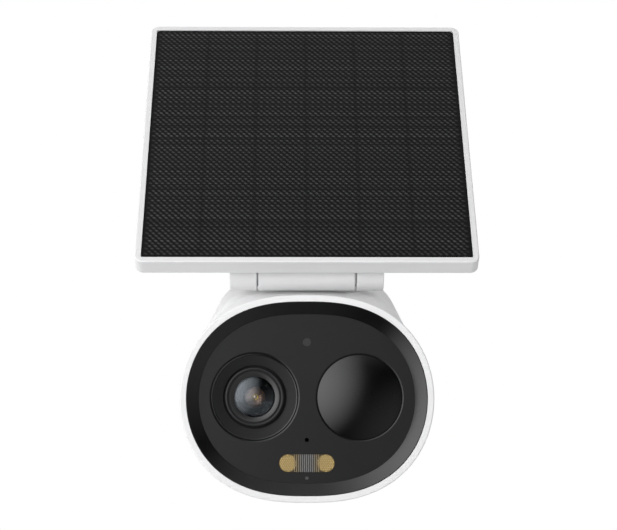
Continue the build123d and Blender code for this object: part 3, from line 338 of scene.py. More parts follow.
# ---- Finishes -------------------------------------------------------------------------------
# Outside of the camera and the panel.
SATIN_WHITE = moulded("satin_white_plastic", (0.80, 0.80, 0.805), 0.42)
BEZEL_BLACK = moulded("bezel_black", (0.005, 0.005, 0.0055), 0.2, 900.0, 1, Specular_IOR_Level=0.5)
PLATE_BLACK = moulded("coated_plate_black", (0.0055, 0.0055, 0.0057), 0.33, 1800.0, 2,
                      Specular_IOR_Level=0.45)
DOME_BLACK = moulded("dome_black", (0.0012, 0.0012, 0.0013), 0.26, 900.0, 0.5,
                     Specular_IOR_Level=0.5)
RUBBER = moulded("soft_rubber", (0.55, 0.55, 0.56), 0.6, 1800.0, 8)
SMOKED = moulded("smoked_plastic", (0.034, 0.034, 0.035), 0.25, 900.0, 1, Specular_IOR_Level=0.3)
LIGHT_PIPE = moulded("light_pipe", (0.055, 0.055, 0.055), 0.4, 900.0, 1)
CLEAR = glass("clear_plastic", (0.8, 0.8, 0.8), 0.12, IOR=1.49)

# Lens.
LENS_BLACK = moulded("lens_black", (0.014, 0.014, 0.015), 0.38, 2400.0, 4, Specular_IOR_Level=0.3)
TRIM_BLACK = moulded("trim_black", (0.021, 0.021, 0.0215), 0.65, 1800.0, 3, Specular_IOR_Level=0.12)
CONE_BLACK = moulded("cone_black", (0.004, 0.004, 0.004), 0.85, 2400.0, 2, Specular_IOR_Level=0.1)
RING_BLACK = moulded("ring_black", (0.02, 0.02, 0.021), 0.32, 2400.0, 2, Specular_IOR_Level=0.5)
COATED_GLASS = glass("coated_glass", (0.9, 0.93, 0.96), 0.0, IOR=1.55,
                     Specular_Tint=(0.84, 0.92, 1.0, 1.0))
TINTED_GLASS = glass("tinted_glass", (0.95, 0.9, 0.88), 0.02, IOR=1.6,
                     Specular_Tint=(1.0, 0.8, 0.7, 1.0))
IRIS_BRONZE = moulded("iris_bronze", (0.20, 0.135, 0.10), 0.3, 900.0, 1, Metallic=0.9)
STOP_GOLD = moulded("stop_ring_gold", (0.42, 0.31, 0.07), 0.2, 900.0, 0.5, Metallic=1.0)
REAR_GLINT = moulded("rear_element_glint", (0.75, 0.74, 0.72), 0.15, 900.0, 0.5, Metallic=1.0)

# Inside.
DARK_RUBBER = moulded("dark_rubber", (0.008, 0.008, 0.008), 0.7, 1800.0, 4)
BOARD = moulded("solder_mask", (0.01, 0.12, 0.06), 0.35, 700.0, 10)
CHIP = moulded("moulded_epoxy", (0.02, 0.02, 0.022), 0.5)
TIN = moulded("tinned_sheet", (0.6, 0.6, 0.58), 0.3, 900.0, 3, Metallic=1.0)
STEEL = moulded("plated_steel", (0.5, 0.5, 0.52), 0.28, 900.0, 3, Metallic=1.0)
BRASS = moulded("machined_brass", (0.75, 0.52, 0.22), 0.28, 700.0, 3, Metallic=1.0)
WRAP = moulded("shrink_film", (0.05, 0.16, 0.4), 0.3, 300.0, 10)
COPPER = moulded("printed_copper", (0.55, 0.28, 0.12), 0.35, 900.0, 3)
SILICON = moulded("silicon", (0.01, 0.012, 0.02), 0.25, 500.0, 2)
WIRE = moulded("wire_sheath", (0.4, 0.03, 0.03), 0.4)
WINDING = moulded("enamelled_winding", (0.45, 0.16, 0.05), 0.3)
PHOSPHOR = moulded("led_phosphor", (0.75, 0.5, 0.12), 0.5, 1500.0, 10)

FINISHES = {
    "white_plastic": SATIN_WHITE, "black_gloss": BEZEL_BLACK, "black_plate": PLATE_BLACK,
    "black_plastic": LENS_BLACK, "clear_plastic": CLEAR, "dark_clear_plastic": SMOKED,
    "optical_glass": COATED_GLASS, "pir_lens": DOME_BLACK, "rubber": RUBBER,
    "circuit_board": BOARD, "chip_plastic": CHIP, "tin_plate": TIN, "steel": STEEL,
    "brass": BRASS, "led_phosphor": PHOSPHOR, "battery_wrap": WRAP, "copper_film": COPPER,
    "solar_silicon": SILICON, "solar_film": DOME_BLACK, "wire_sheath": WIRE,
    "magnet_wire": WINDING,
}
OWN_FINISHES = {
    "microphone": DARK_RUBBER, "microphone_seal": DARK_RUBBER, "status_light_pipe": LIGHT_PIPE,
}


def coat(mesh, material):
    """Makes a material the only one of a mesh."""
    mesh.materials.clear()
    mesh.materials.append(material)


for part in frame["record"]["subparts"]:
    finish = OWN_FINISHES.get(part["node"], FINISHES[part["material_slot"]])
    coat(frame["nodes"][part["node"]].data, finish)


# ---- Making pieces --------------------------------------------------------------------------
WIDE_SIDES = 192                # sides of turned parts, from the widest to the smallest
HEAD_SIDES = 160
GLASS_SIDES = 128
EYE_SIDES = 96
ROUND_STEPS = 16                # steps in a quarter of a round end


def finish_piece(name, mesh, material, body, slot, *replaced):
    """Puts a mesh in the scene with its finish and its body, and hides the parts that it stands for.
    The slot is not used.
    """
    coat(mesh, material)
    piece = bpy.data.objects.new(name, mesh)
    bpy.context.scene.collection.objects.link(piece)
    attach(piece, body)
    if replaced:
        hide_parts(*replaced)


def shade(mesh):
    """Smooth shading, with edges sharper than SHARP_ANGLE kept crisp."""
    mesh.polygons.foreach_set("use_smooth", [True] * len(mesh.polygons))
    mesh.set_sharp_from_angle(angle=SHARP_ANGLE)


def finished_mesh(name, build):
    """Turns a bmesh into a mesh and frees it."""
    mesh = bpy.data.meshes.new(name)
    build.to_mesh(mesh)
    build.free()
    return mesh


def bridge(build, lower, upper):
    """Band of four-sided faces between two closed rings of vertices."""
    for corners in zip(lower, lower[1:] + lower[:1], upper[1:] + upper[:1], upper):
        build.faces.new(corners)


def lathe(name, section, place, sides):
    """Turned mesh about the line along Y through place.

    The section is a closed outline of (radius, depth), with depth counted backwards from
    the place."""
    build = bmesh.new()
    points = [build.verts.new((radius * MM, depth * MM, 0)) for radius, depth in section]
    edges = [build.edges.new(pair) for pair in zip(points, points[1:] + points[:1])]
    bmesh.ops.spin(build, geom=points + edges, axis=(0, 1, 0), cent=(0, 0, 0),
                   angle=2 * math.pi, steps=sides, use_merge=True)
    bmesh.ops.remove_doubles(build, verts=build.verts, dist=MERGE_DISTANCE)
    bmesh.ops.dissolve_degenerate(build, edges=build.edges, dist=MERGE_DISTANCE)
    bmesh.ops.recalc_face_normals(build, faces=build.faces)
    bmesh.ops.translate(build, verts=build.verts, vec=place)
    mesh = finished_mesh(name, build)
    shade(mesh)
    return mesh


def cap(radius, depth, sag, steps):
    """Points of a spherical cap from its middle, at the depth, out to the radius, sag deeper."""
    ball = (radius ** 2 + sag ** 2) / (2 * sag)
    points = []
    for step in range(steps + 1):
        reach = radius * step / steps
        points.append((reach, depth + ball - math.sqrt(ball ** 2 - reach ** 2)))
    return points


def ridged(start, end, pitch, height):
    """Points from start to end with ridges across the way, as on a turned anti-glare cone."""
    start, end = Vector(start), Vector(end)
    way = end - start
    normal = Vector((way.y, -way.x)).normalized()
    count = round(way.length / pitch)
    points = []
    for ridge in range(count):
        points.append(tuple(start + way * ridge / count))
        points.append(tuple(start + way * (ridge + 0.5) / count + normal * height))
    return points + [tuple(end)]


def rounded_slab(name, width, length, corner, thickness, bevel, steps=8):
    """Slab with its face at Z = 0, rounded corners and a small bevel round the face."""
    outline = []
    for quarter in range(4):
        middle_x = (width / 2 - corner) * (1 if quarter in (0, 3) else -1)
        middle_y = (length / 2 - corner) * (1 if quarter in (0, 1) else -1)
        for step in range(steps + 1):
            angle = (quarter + step / steps) * math.pi / 2
            outline.append((middle_x, middle_y, math.cos(angle), math.sin(angle)))
    build = bmesh.new()
    rings = []
    for radius, height in ((corner, -thickness), (corner, -bevel), (corner - bevel, 0.0)):
        ring = [build.verts.new(((x + radius * c) * MM, (y + radius * s) * MM, height * MM))
                for x, y, c, s in outline]
        rings.append(ring)
    for lower, upper in zip(rings, rings[1:]):
        bridge(build, lower, upper)
    build.faces.new(rings[-1])
    build.faces.new(reversed(rings[0]))
    return finished_mesh(name, build)


# ---- Geometry trees -------------------------------------------------------------------------
NUMBER = "NodeSocketFloat"
WHOLE = "NodeSocketInt"


def geometry_tree(name, inputs):
    """Empty Geometry Nodes tree with named number inputs and a Material input."""
    tree = bpy.data.node_groups.new(name, "GeometryNodeTree")
    tree.interface.new_socket("Geometry", in_out="INPUT", socket_type="NodeSocketGeometry")
    for label, kind in inputs.items():
        tree.interface.new_socket(label, in_out="INPUT", socket_type=kind)
    tree.interface.new_socket("Material", in_out="INPUT", socket_type="NodeSocketMaterial")
    tree.interface.new_socket("Geometry", in_out="OUTPUT", socket_type="NodeSocketGeometry")
    return tree, tree.nodes.new("NodeGroupInput").outputs, tree.nodes.new("NodeGroupOutput")


def link_through(tree, geometry, node, socket="Geometry"):
    """Runs a geometry socket through a node and returns the node's first output."""
    tree.links.new(geometry, node.inputs[socket])
    return node.outputs[0]


def close_tree(tree, geometry, sizes, end):
    """Realize Instances, join the mesh that the tree was given, and Set Material."""
    real = link_through(tree, geometry, add(tree, "GeometryNodeRealizeInstances"))
    join = add(tree, "GeometryNodeJoinGeometry")
    tree.links.new(real, join.inputs[0])
    tree.links.new(sizes["Geometry"], join.inputs[0])
    coated = add(tree, "GeometryNodeSetMaterial")
    feed(tree, coated, "Material", sizes["Material"])
    tree.links.new(link_through(tree, join.outputs[0], coated), end.inputs["Geometry"])


def span(tree, count, pitch):
    """Length of a row from its first member to its last."""
    return math_node(tree, "MULTIPLY", math_node(tree, "SUBTRACT", count, 1.0), pitch)


def shifted_lattice(tree, sizes):
    """Grid of points whose odd rows are half a pitch beside the even ones."""
    grid = add(tree, "GeometryNodeMeshGrid")
    feed(tree, grid, "Size X", span(tree, sizes["Columns"], sizes["Column Pitch"]))
    feed(tree, grid, "Size Y", span(tree, sizes["Rows"], sizes["Row Pitch"]))
    feed(tree, grid, "Vertices X", sizes["Columns"])
    feed(tree, grid, "Vertices Y", sizes["Rows"])
    index = add(tree, "GeometryNodeInputIndex").outputs[0]
    odd = math_node(tree, "MODULO", math_node(tree, "MODULO", index, sizes["Rows"]), 2.0)
    half_pitch = math_node(tree, "MULTIPLY", sizes["Column Pitch"], 0.5)
    slide = math_node(tree, "MULTIPLY", math_node(tree, "SUBTRACT", odd, 0.5), half_pitch)
    shift = add(tree, "GeometryNodeSetPosition")
    down = math_node(tree, "MULTIPLY", sizes["Stud Sink"], -1.0)
    feed(tree, shift, "Offset", combine(tree, slide, z=down))
    return link_through(tree, grid.outputs[0], shift)


def within_reach(tree, lattice, sizes):
    """Drops the points outside an oblong and a circle about the middle."""
    place = parts_of(tree, add(tree, "GeometryNodeInputPosition").outputs[0])
    away = [math_node(tree, "ABSOLUTE", place[axis]) for axis in ("X", "Y")]
    squares = [math_node(tree, "POWER", place[axis], 2.0) for axis in ("X", "Y")]
    radius = math_node(tree, "SQRT", math_node(tree, "ADD", *squares))
    beyond_x = math_node(tree, "SUBTRACT", away[0], sizes["Reach X"])
    beyond_y = math_node(tree, "SUBTRACT", away[1], sizes["Reach Y"])
    beyond_round = math_node(tree, "SUBTRACT", radius, sizes["Reach Round"])
    beyond_oblong = math_node(tree, "MAXIMUM", beyond_x, beyond_y)
    beyond = math_node(tree, "MAXIMUM", beyond_oblong, beyond_round)
    trim = add(tree, "GeometryNodeDeleteGeometry")
    feed(tree, trim, "Selection", math_node(tree, "GREATER_THAN", beyond, 0.0))
    return link_through(tree, lattice, trim)


def studded_tree():
    """Lattice of low studs, kept inside an oblong or a circle, on the face Z = 0 of a mesh."""
    tree, sizes, end = geometry_tree("studded_face", {
        "Columns": WHOLE, "Rows": WHOLE, "Column Pitch": NUMBER, "Row Pitch": NUMBER,
        "Reach X": NUMBER, "Reach Y": NUMBER, "Reach Round": NUMBER, "Stud Length": NUMBER,
        "Stud Width": NUMBER, "Stud Height": NUMBER, "Stud Lean": NUMBER, "Stud Sink": NUMBER,
    })
    lattice = within_reach(tree, shifted_lattice(tree, sizes), sizes)
    stud = add(tree, "GeometryNodeMeshIcoSphere")
    feed(tree, stud, "Radius", 0.5)
    feed(tree, stud, "Subdivisions", 1)
    scatter = add(tree, "GeometryNodeInstanceOnPoints")
    feed(tree, scatter, "Instance", stud.outputs[0])
    feed(tree, scatter, "Rotation", combine(tree, z=sizes["Stud Lean"]))
    feed(tree, scatter, "Scale",
         combine(tree, sizes["Stud Length"], sizes["Stud Width"], sizes["Stud Height"]))
    close_tree(tree, link_through(tree, lattice, scatter, "Points"), sizes, end)
    return tree


def ribbed_tree():
    """Row of round ribs along X, each standing along Y, on the mesh that it is given."""
    tree, sizes, end = geometry_tree("ribbed_face", {
        "Count": WHOLE, "Pitch": NUMBER, "Rib Length": NUMBER, "Rib Radius": NUMBER,
        "Rib Sides": WHOLE,
    })
    line = add(tree, "GeometryNodeMeshLine")
    feed(tree, line, "Count", sizes["Count"])
    feed(tree, line, "Offset", combine(tree, sizes["Pitch"]))
    first = math_node(tree, "MULTIPLY", span(tree, sizes["Count"], sizes["Pitch"]), -0.5)
    feed(tree, line, "Start Location", combine(tree, first))
    rib = add(tree, "GeometryNodeMeshCylinder")
    feed(tree, rib, "Vertices", sizes["Rib Sides"])
    feed(tree, rib, "Radius", sizes["Rib Radius"])
    feed(tree, rib, "Depth", sizes["Rib Length"])
    scatter = add(tree, "GeometryNodeInstanceOnPoints")
    feed(tree, scatter, "Instance", rib.outputs[0])
    feed(tree, scatter, "Rotation", combine(tree, math.pi / 2))
    close_tree(tree, link_through(tree, line.outputs[0], scatter, "Points"), sizes, end)
    return tree


STUDDED = studded_tree()
RIBBED = ribbed_tree()


def grown(name, base, tree, material, matrix, **sizes):
    """Plain mesh that a geometry tree makes of a base mesh, put in place by a matrix."""
    carrier = bpy.data.objects.new(name, base)
    bpy.context.scene.collection.objects.link(carrier)
    modifier = carrier.modifiers.new("tree", "NODES")
    modifier.node_group = tree
    sizes["Material"] = material
    for item in tree.interface.items_tree:
        label = item.name.replace(" ", "_")
        if item.in_out == "INPUT" and label in sizes:
            modifier[item.identifier] = sizes[label]
    ready = carrier.evaluated_get(bpy.context.evaluated_depsgraph_get())
    mesh = bpy.data.meshes.new_from_object(ready)
    carrier.modifiers.clear()
    bpy.data.objects.remove(carrier)
    mesh.name = name
    mesh.transform(matrix)
    shade(mesh)
    return mesh


# ---- Solar film -----------------------------------------------------------------------------
STUD_HEIGHT = 0.20
STUD_SINK = 0.10                # how deep each stud's middle lies under the face
STUD_COLUMN_PITCH = 1.84
STUD_ROW_PITCH = 1.02
STUD_LENGTH = 2.10
STUD_WIDTH = 1.20
STUD_LEAN = math.radians(-33)
FILM_CORNER = 1.4
FILM_BEVEL = 0.06
FILM_EDGE = 0.9                 # plain border round the studs
# painted shade in the hollows between the studs, then the film's own colour on their tops
FILM_SHADE_AND_TOP_COLOURS = ((0.003, 0.003, 0.0032), (0.092, 0.0925, 0.094))
FILM_ROUGHNESS = (0.6, 0.3)
CELL_COLUMNS = 6
CELL_GAP_SHARE = 0.06           # of a cell's width, on each side
CELL_GAP_TONE = 0.45
ROW_SCALE = 520.0               # rows of the pattern differ a little in tone, in bands up the panel
ROW_NOISE_RANGE = (0.42, 0.58)
ROW_TONES = (0.22, 1.0)


def cell_tone(tree, place):
    """Darker upright lines where the gaps between the cells lie behind the film."""
    low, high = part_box("solar_cells")
    pitch = (high.x - low.x) / CELL_COLUMNS
    from_edge = math_node(tree, "SUBTRACT", parts_of(tree, place)["X"], low.x)
    steps = math_node(tree, "DIVIDE", from_edge, pitch)
    from_middle = distance_from(tree, math_node(tree, "FRACT", steps), 0.5)
    return spread(tree, from_middle, 0.5 - CELL_GAP_SHARE, 0.5, 1.0, CELL_GAP_TONE)


def row_tone(tree, place, up_slope):
    """Uneven tone from row to row up the panel, the same all the way across."""
    along = combine(tree, z=dot(tree, place, up_slope))
    rows = noise(tree, along, ROW_SCALE, 3.0, 0.7)
    return spread(tree, rows, *ROW_NOISE_RANGE, *ROW_TONES)


def make_solar_film():
    """Black film with a lattice of slanted studs pressed into it, over the whole panel, with painted
    shade in the hollows between the studs.
    """
    matrix, (width, length), thickness = panel_frame_of("solar_laminate")
    up_slope = matrix.col[1].to_3d()
    film = shaded_in_hollows(
        "embossed_film", matrix, STUD_HEIGHT * MM, FILM_SHADE_AND_TOP_COLOURS, FILM_ROUGHNESS,
        tone=lambda tree, place: math_node(
            tree, "MULTIPLY", row_tone(tree, place, up_slope), cell_tone(tree, place)),
        Specular_IOR_Level=0.1,
    )
    base = rounded_slab("solar_film", width, length, FILM_CORNER, thickness, FILM_BEVEL)
    mesh = grown(
        "solar_film", base, STUDDED, film, matrix,
        Columns=round(width / STUD_COLUMN_PITCH), Rows=round(length / STUD_ROW_PITCH),
        Column_Pitch=STUD_COLUMN_PITCH * MM, Row_Pitch=STUD_ROW_PITCH * MM,
        Reach_X=(width / 2 - FILM_EDGE) * MM, Reach_Y=(length / 2 - FILM_EDGE) * MM,
        Reach_Round=width * MM, Stud_Length=STUD_LENGTH * MM, Stud_Width=STUD_WIDTH * MM,
        Stud_Height=2 * (STUD_HEIGHT + STUD_SINK) * MM, Stud_Lean=STUD_LEAN,
        Stud_Sink=STUD_SINK * MM,
    )
    finish_piece("solar_film", mesh, film, "panel", "solar_film", "solar_laminate")


# ---- Lens -----------------------------------------------------------------------------------
TRIM_RADIUS = 13.05
TRIM_ROUNDING = ((0.0, 0.2), (0.06, 0.05), (0.14, 0.0), (0.2, 0.0))     # (inwards, depth)
LIP_RADIUS = 12.55              # inner edge of the shiny lip, where the funnel starts
LIP_SLOPE = 0.26                # how deep the lip lies at its inner edge
LIP_BACK = 0.6
FUNNEL_INNER = 9.6
FUNNEL_DEPTH = 2.1
FUNNEL_RIDGE_PITCH = 0.24
FUNNEL_RIDGE_HEIGHT = 0.04
BARREL_RADIUS = 9.0
SKIRT_DEPTH = 3.4               # thin inner edge that hides what lies behind the gap round the barrel
SKIRT_THICKNESS = 0.4
HEAD_ROUNDING = ((0.0, 0.45), (0.12, 0.14), (0.35, 0.0))                # (inwards, depth)
HEAD_STEPS = (                  # from the head's flat front down to the ring's seat and the cone
    (8.3, 0.0), (8.1, 0.1), (8.0, 0.6), (7.62, 0.6), (7.62, 0.7), (7.1, 0.7), (7.1, 1.9), (6.0, 1.9),
)
HEAD_INNER_BACK = 5.75
RING_SECTION = (                # foot, flange and bevelled front edge
    (7.08, 1.1), (7.08, 0.68), (7.56, 0.68), (7.56, 0.18), (7.48, 0.1), (7.35, 0.1),
)
RING_GAP = 0.04                 # between the ring and the front glass
RING_CHAMFER = 0.1
CONE_OUTER = 5.7
CONE_WAY = ((5.6, 1.95), (3.5, 4.3))
CONE_RIDGE_PITCH = 0.36
CONE_RIDGE_HEIGHT = 0.05
CONE_GAP = 0.08                 # between the cone and the inner glass
GLASS_RADIUS = 6.1
GLASS_CROWN = 1.2
GLASS_THICKNESS = 0.9
GLASS_INNER_MARGIN = 0.4
GLASS_INNER_FLATNESS = 0.85     # the inner face's crown, as a share of the outer one's
EYE_RADIUS = 3.0
EYE_DEPTHS = (3.75, 4.5)        # front and back of the inner glass, in its middle
EYE_CROWNS = (0.75, 0.35)
IRIS_SLOPE = ((1.5, 5.9), (2.2, 5.5), (2.7, 5.05), (EYE_RADIUS, 4.65))
STOP_RADIUS = 0.95
STOP_DEPTH = 6.1
STOP_SLOPE = ((0.5, 6.3), (0.75, 6.24))
PUPIL_RADIUS = 0.5
PUPIL_DEPTH = 5.95
PUPIL_CROWN = 0.28
INNER_BACK = 6.6                # where the iris, the stop and the rear glass end


def make_trim_ring():
    """Shiny lip round the lens and the ridged funnel inside it."""
    place = axis_of("lens_trim_ring")
    back = depth_of("lens_trim_ring")
    rounding = [(TRIM_RADIUS - inwards, depth) for inwards, depth in TRIM_ROUNDING]
    lip = [(TRIM_RADIUS, LIP_BACK), *rounding, (LIP_RADIUS, LIP_SLOPE), (LIP_RADIUS, LIP_BACK)]
    mesh = lathe("lens_trim_edge", lip, place, WIDE_SIDES)
    finish_piece("lens_trim_edge", mesh, BEZEL_BLACK, "camera", "black_plastic")
    funnel = ridged((LIP_RADIUS - 0.1, 0.34), (FUNNEL_INNER + 0.25, FUNNEL_DEPTH),
                    FUNNEL_RIDGE_PITCH, FUNNEL_RIDGE_HEIGHT)
    skirt_inner = BARREL_RADIUS + 0.05
    section = [
        (TRIM_RADIUS, back), (TRIM_RADIUS, 0.62), (LIP_RADIUS, 0.3), *funnel,
        (FUNNEL_INNER + 0.06, FUNNEL_DEPTH + 0.06), (FUNNEL_INNER, FUNNEL_DEPTH + 0.2),
        (FUNNEL_INNER, SKIRT_DEPTH), (skirt_inner, SKIRT_DEPTH),
        (skirt_inner, SKIRT_DEPTH + SKIRT_THICKNESS), (FUNNEL_INNER, SKIRT_DEPTH + 0.5),
        (FUNNEL_INNER, back),
    ]
    mesh = lathe("lens_trim", section, place, WIDE_SIDES)
    finish_piece("lens_trim", mesh, TRIM_BLACK, "camera", "black_plastic", "lens_trim_ring")


def make_lens_head():
    """Front end of the barrel, with its steps down to the seat of the retaining ring."""
    back = depth_of("lens_barrel")
    rounding = [(BARREL_RADIUS - inwards, depth) for inwards, depth in HEAD_ROUNDING]
    section = [(BARREL_RADIUS, back), *rounding, *HEAD_STEPS, (HEAD_INNER_BACK, back)]
    mesh = lathe("lens_head", section, axis_of("lens_barrel"), HEAD_SIDES)
    finish_piece("lens_head", mesh, LENS_BLACK, "camera", "black_plastic", "lens_barrel")


def make_lens_cone():
    """Matt ridged cone behind the front glass, which keeps stray light off the inner glass."""
    back = depth_of("lens_barrel")
    start, end = CONE_WAY
    inner = EYE_RADIUS + CONE_GAP
    section = [
        (CONE_OUTER, back), (CONE_OUTER, start[1]),
        *ridged(start, end, CONE_RIDGE_PITCH, CONE_RIDGE_HEIGHT),
        (inner, end[1] + 0.05), (inner, back),
    ]
    mesh = lathe("lens_cone", section, axis_of("lens_barrel"), HEAD_SIDES)
    finish_piece("lens_cone", mesh, CONE_BLACK, "camera", "black_plastic")


def make_retaining_ring():
    """Turned ring that holds the front glass, with a wide chamfer down to it."""
    inner = GLASS_RADIUS + RING_GAP
    section = [*RING_SECTION, (inner + RING_CHAMFER, 0.52), (inner, 0.62), (inner, 1.1)]
    mesh = lathe("retaining_ring", section, axis_of("lens_retainer"), HEAD_SIDES)
    finish_piece("retaining_ring", mesh, RING_BLACK, "camera", "black_plastic", "lens_retainer")


def make_front_glass():
    """Coated meniscus at the front of the lens."""
    inner_crown = GLASS_CROWN * GLASS_INNER_FLATNESS
    section = [*cap(GLASS_RADIUS, 0.0, GLASS_CROWN, 20), (GLASS_RADIUS, depth_of("lens_front_glass"))]
    section += reversed(cap(GLASS_RADIUS - GLASS_INNER_MARGIN, GLASS_THICKNESS, inner_crown, 20))
    mesh = lathe("front_glass", section, axis_of("lens_front_glass"), GLASS_SIDES)
    finish_piece("front_glass", mesh, COATED_GLASS, "camera", "optical_glass", "lens_front_glass")


def make_inner_glass():
    """Small parts that show through the front glass: inner glass, iris, stop and rear glass."""
    eye = [*cap(EYE_RADIUS, EYE_DEPTHS[0], EYE_CROWNS[0], 16),
           *reversed(cap(EYE_RADIUS - 0.05, EYE_DEPTHS[1], EYE_CROWNS[1], 16))]
    iris = [(STOP_RADIUS, STOP_DEPTH), *IRIS_SLOPE, (EYE_RADIUS, INNER_BACK),
            (STOP_RADIUS, INNER_BACK)]
    stop = [*STOP_SLOPE, (STOP_RADIUS, STOP_DEPTH), (STOP_RADIUS, INNER_BACK),
            (PUPIL_RADIUS, INNER_BACK)]
    pupil = [*cap(PUPIL_RADIUS, PUPIL_DEPTH, PUPIL_CROWN, 8), (PUPIL_RADIUS, INNER_BACK),
             (0.0, INNER_BACK)]
    for name, section, finish, slot, replaced in (
            ("amber_element", eye, TINTED_GLASS, "optical_glass", ("lens_elements",)),
            ("iris_plate", iris, IRIS_BRONZE, "black_plastic", ()),
            ("stop_ring", stop, STOP_GOLD, "black_plastic", ()),
            ("rear_element", pupil, REAR_GLINT, "optical_glass", ())):
        mesh = lathe(name, section, axis_of("lens_barrel"), EYE_SIDES)
        finish_piece(name, mesh, finish, "camera", slot, *replaced)


# ---- Motion-sensor dome ---------------------------------------------------------------------
DOME_RADIUS = 12.7
DOME_CROWN = 3.6
DOME_WALL = 0.8
DOME_FLANGE_HEIGHT = 0.8


def make_dome():
    """Thin crowned dome with even rings of faces, so that its shine runs smoothly."""
    low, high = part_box("pir_dome")
    flange = (high.x - low.x) / 2 / MM
    back = depth_of("pir_dome")
    flange_front = back - DOME_FLANGE_HEIGHT
    inner = DOME_RADIUS - DOME_WALL
    section = [
        *cap(DOME_RADIUS, 0.0, DOME_CROWN, 40), (DOME_RADIUS, flange_front),
        (flange, flange_front), (flange, back), (inner, back),
        *reversed(cap(inner, DOME_WALL, DOME_CROWN - DOME_WALL, 20)),
    ]
    mesh = lathe("motion_dome", section, axis_of("pir_dome"), WIDE_SIDES)
    finish_piece("motion_dome", mesh, DOME_BLACK, "camera", "pir_lens", "pir_dome")


# ---- Spotlight ------------------------------------------------------------------------------
WINDOW_FLANGE = 0.9             # hidden border of the window, behind the plate
WINDOW_THICKNESS = 1.5
WINDOW_BEVEL = 0.05
ROUND_END_FLAT = 0.001          # keeps a round end's corners just apart
RIB_PITCH = 0.60
RIB_RADIUS = 0.25
RIB_SIDES = 12
# painted shade in the grooves between the ribs, then the ribs' own grey
RIB_SHADE_AND_TOP_COLOURS = ((0.03, 0.03, 0.03), (0.13, 0.13, 0.127))
RIB_ROUGHNESS = (0.6, 0.3)
EXTRA_RIBS = 3                  # one in the middle and one at each disc's edge
WARM_REACH = 1.6                # how far the discs' colour reaches into the ribs
WARM_TINT = (1.25, 0.95, 0.5)
DISC_MARGIN = 0.12
DISC_THICKNESS = 0.4
DISC_BEVEL = 0.04
# painted shade between the lenslets, then their own amber
DISC_SHADE_AND_TOP_COLOURS = ((0.22, 0.155, 0.058), (0.74, 0.545, 0.215))
DISC_ROUGHNESS = (0.6, 0.35)
LENSLET_PITCH = 0.60
LENSLET_WIDTH = 0.88 * LENSLET_PITCH
LENSLET_ROW_PITCH = 0.87 * LENSLET_PITCH
LENSLET_EDGE = 0.4 * LENSLET_PITCH  # least distance from a lenslet's middle to the disc's edge
LENSLET_RISE = 0.16
UNBOUNDED = 1.0                 # a reach far past the object, in metres


def make_ribbed_window(middle, length, height, disc_radius):
    """Window plate with upright ribs, with painted shade in their grooves; the ribs take the discs'
    colour at both ends.
    """
    matrix = face_matrix(middle + Vector((0, RIB_RADIUS * MM, 0)))
    edge = ((length - height) / 2 - disc_radius) * MM

    def warmed(tree, place, colour):
        away = distance_from(tree, parts_of(tree, place)["X"], middle.x)
        share = spread(tree, away, edge - WARM_REACH * MM, edge, 0.0, 1.0)
        return mix_colours(tree, share, colour, opaque(WARM_TINT), "MULTIPLY")

    finish = shaded_in_hollows("ribbed_plastic", matrix, RIB_RADIUS * MM, RIB_SHADE_AND_TOP_COLOURS, RIB_ROUGHNESS,
                      tint=warmed)
    plate = rounded_slab("spotlight_ribs", length, height, height / 2 - ROUND_END_FLAT,
                         WINDOW_THICKNESS, WINDOW_BEVEL, ROUND_STEPS)
    ribs = grown(
        "spotlight_ribs", plate, RIBBED, finish, matrix,
        Count=2 * round((length / 2 - height) / RIB_PITCH) + EXTRA_RIBS,
        Pitch=RIB_PITCH * MM, Rib_Length=(height - 2 * DISC_MARGIN) * MM,
        Rib_Radius=RIB_RADIUS * MM, Rib_Sides=RIB_SIDES,
    )
    finish_piece("spotlight_ribs", ribs, finish, "camera", "clear_plastic", "spotlight_window")


def make_lenslet_disc(name, material_name, place, radius):
    """Amber disc covered with small round lenses, with painted shade between them."""
    matrix = face_matrix(place)
    finish = shaded_in_hollows(material_name, matrix, LENSLET_RISE * MM, DISC_SHADE_AND_TOP_COLOURS, DISC_ROUGHNESS)
    base = rounded_slab(name, 2 * radius, 2 * radius, radius - ROUND_END_FLAT,
                        DISC_THICKNESS, DISC_BEVEL, ROUND_STEPS)
    across = round(2 * radius / LENSLET_PITCH) + 2
    disc = grown(
        name, base, STUDDED, finish, matrix,
        Columns=across, Rows=across + 1, Column_Pitch=LENSLET_PITCH * MM,
        Row_Pitch=LENSLET_ROW_PITCH * MM, Reach_X=UNBOUNDED, Reach_Y=UNBOUNDED,
        Reach_Round=(radius - LENSLET_EDGE) * MM, Stud_Length=LENSLET_WIDTH * MM,
        Stud_Width=LENSLET_WIDTH * MM, Stud_Height=2 * LENSLET_RISE * MM, Stud_Lean=0.0,
        Stud_Sink=0.0,
    )
    finish_piece(name, disc, finish, "camera", "led_phosphor")


def make_spotlight():
    """Window with upright ribs between two amber discs of small round lenses."""
    low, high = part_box("spotlight_window")
    middle = axis_of("spotlight_window")
    length = (high.x - low.x) / MM - 2 * WINDOW_FLANGE
    height = (high.z - low.z) / MM - 2 * WINDOW_FLANGE
    disc_radius = height / 2 - DISC_MARGIN
    make_ribbed_window(middle, length, height, disc_radius)
    for side, word in ((-1, "left"), (1, "right")):
        place = middle + Vector((side * (length - height) / 2, LENSLET_RISE, 0)) * MM
        make_lenslet_disc("spotlight_disc_" + word, "amber_" + word, place, disc_radius)


# ---- Threaded insert ------------------------------------------------------------------------
THREAD_PITCH = 1.27
THREAD_DEPTH = 0.5
THREAD_ROWS = 12                # rings of vertices in one turn of the thread
RING_VERTICES = 96
BORE_RADIUS = 2.68
MOUTH_DEPTH = 0.8               # of the bore's own chamfer, at the back
INSERT_RADIUS = 4.99
INSERT_CHAMFER = 0.25


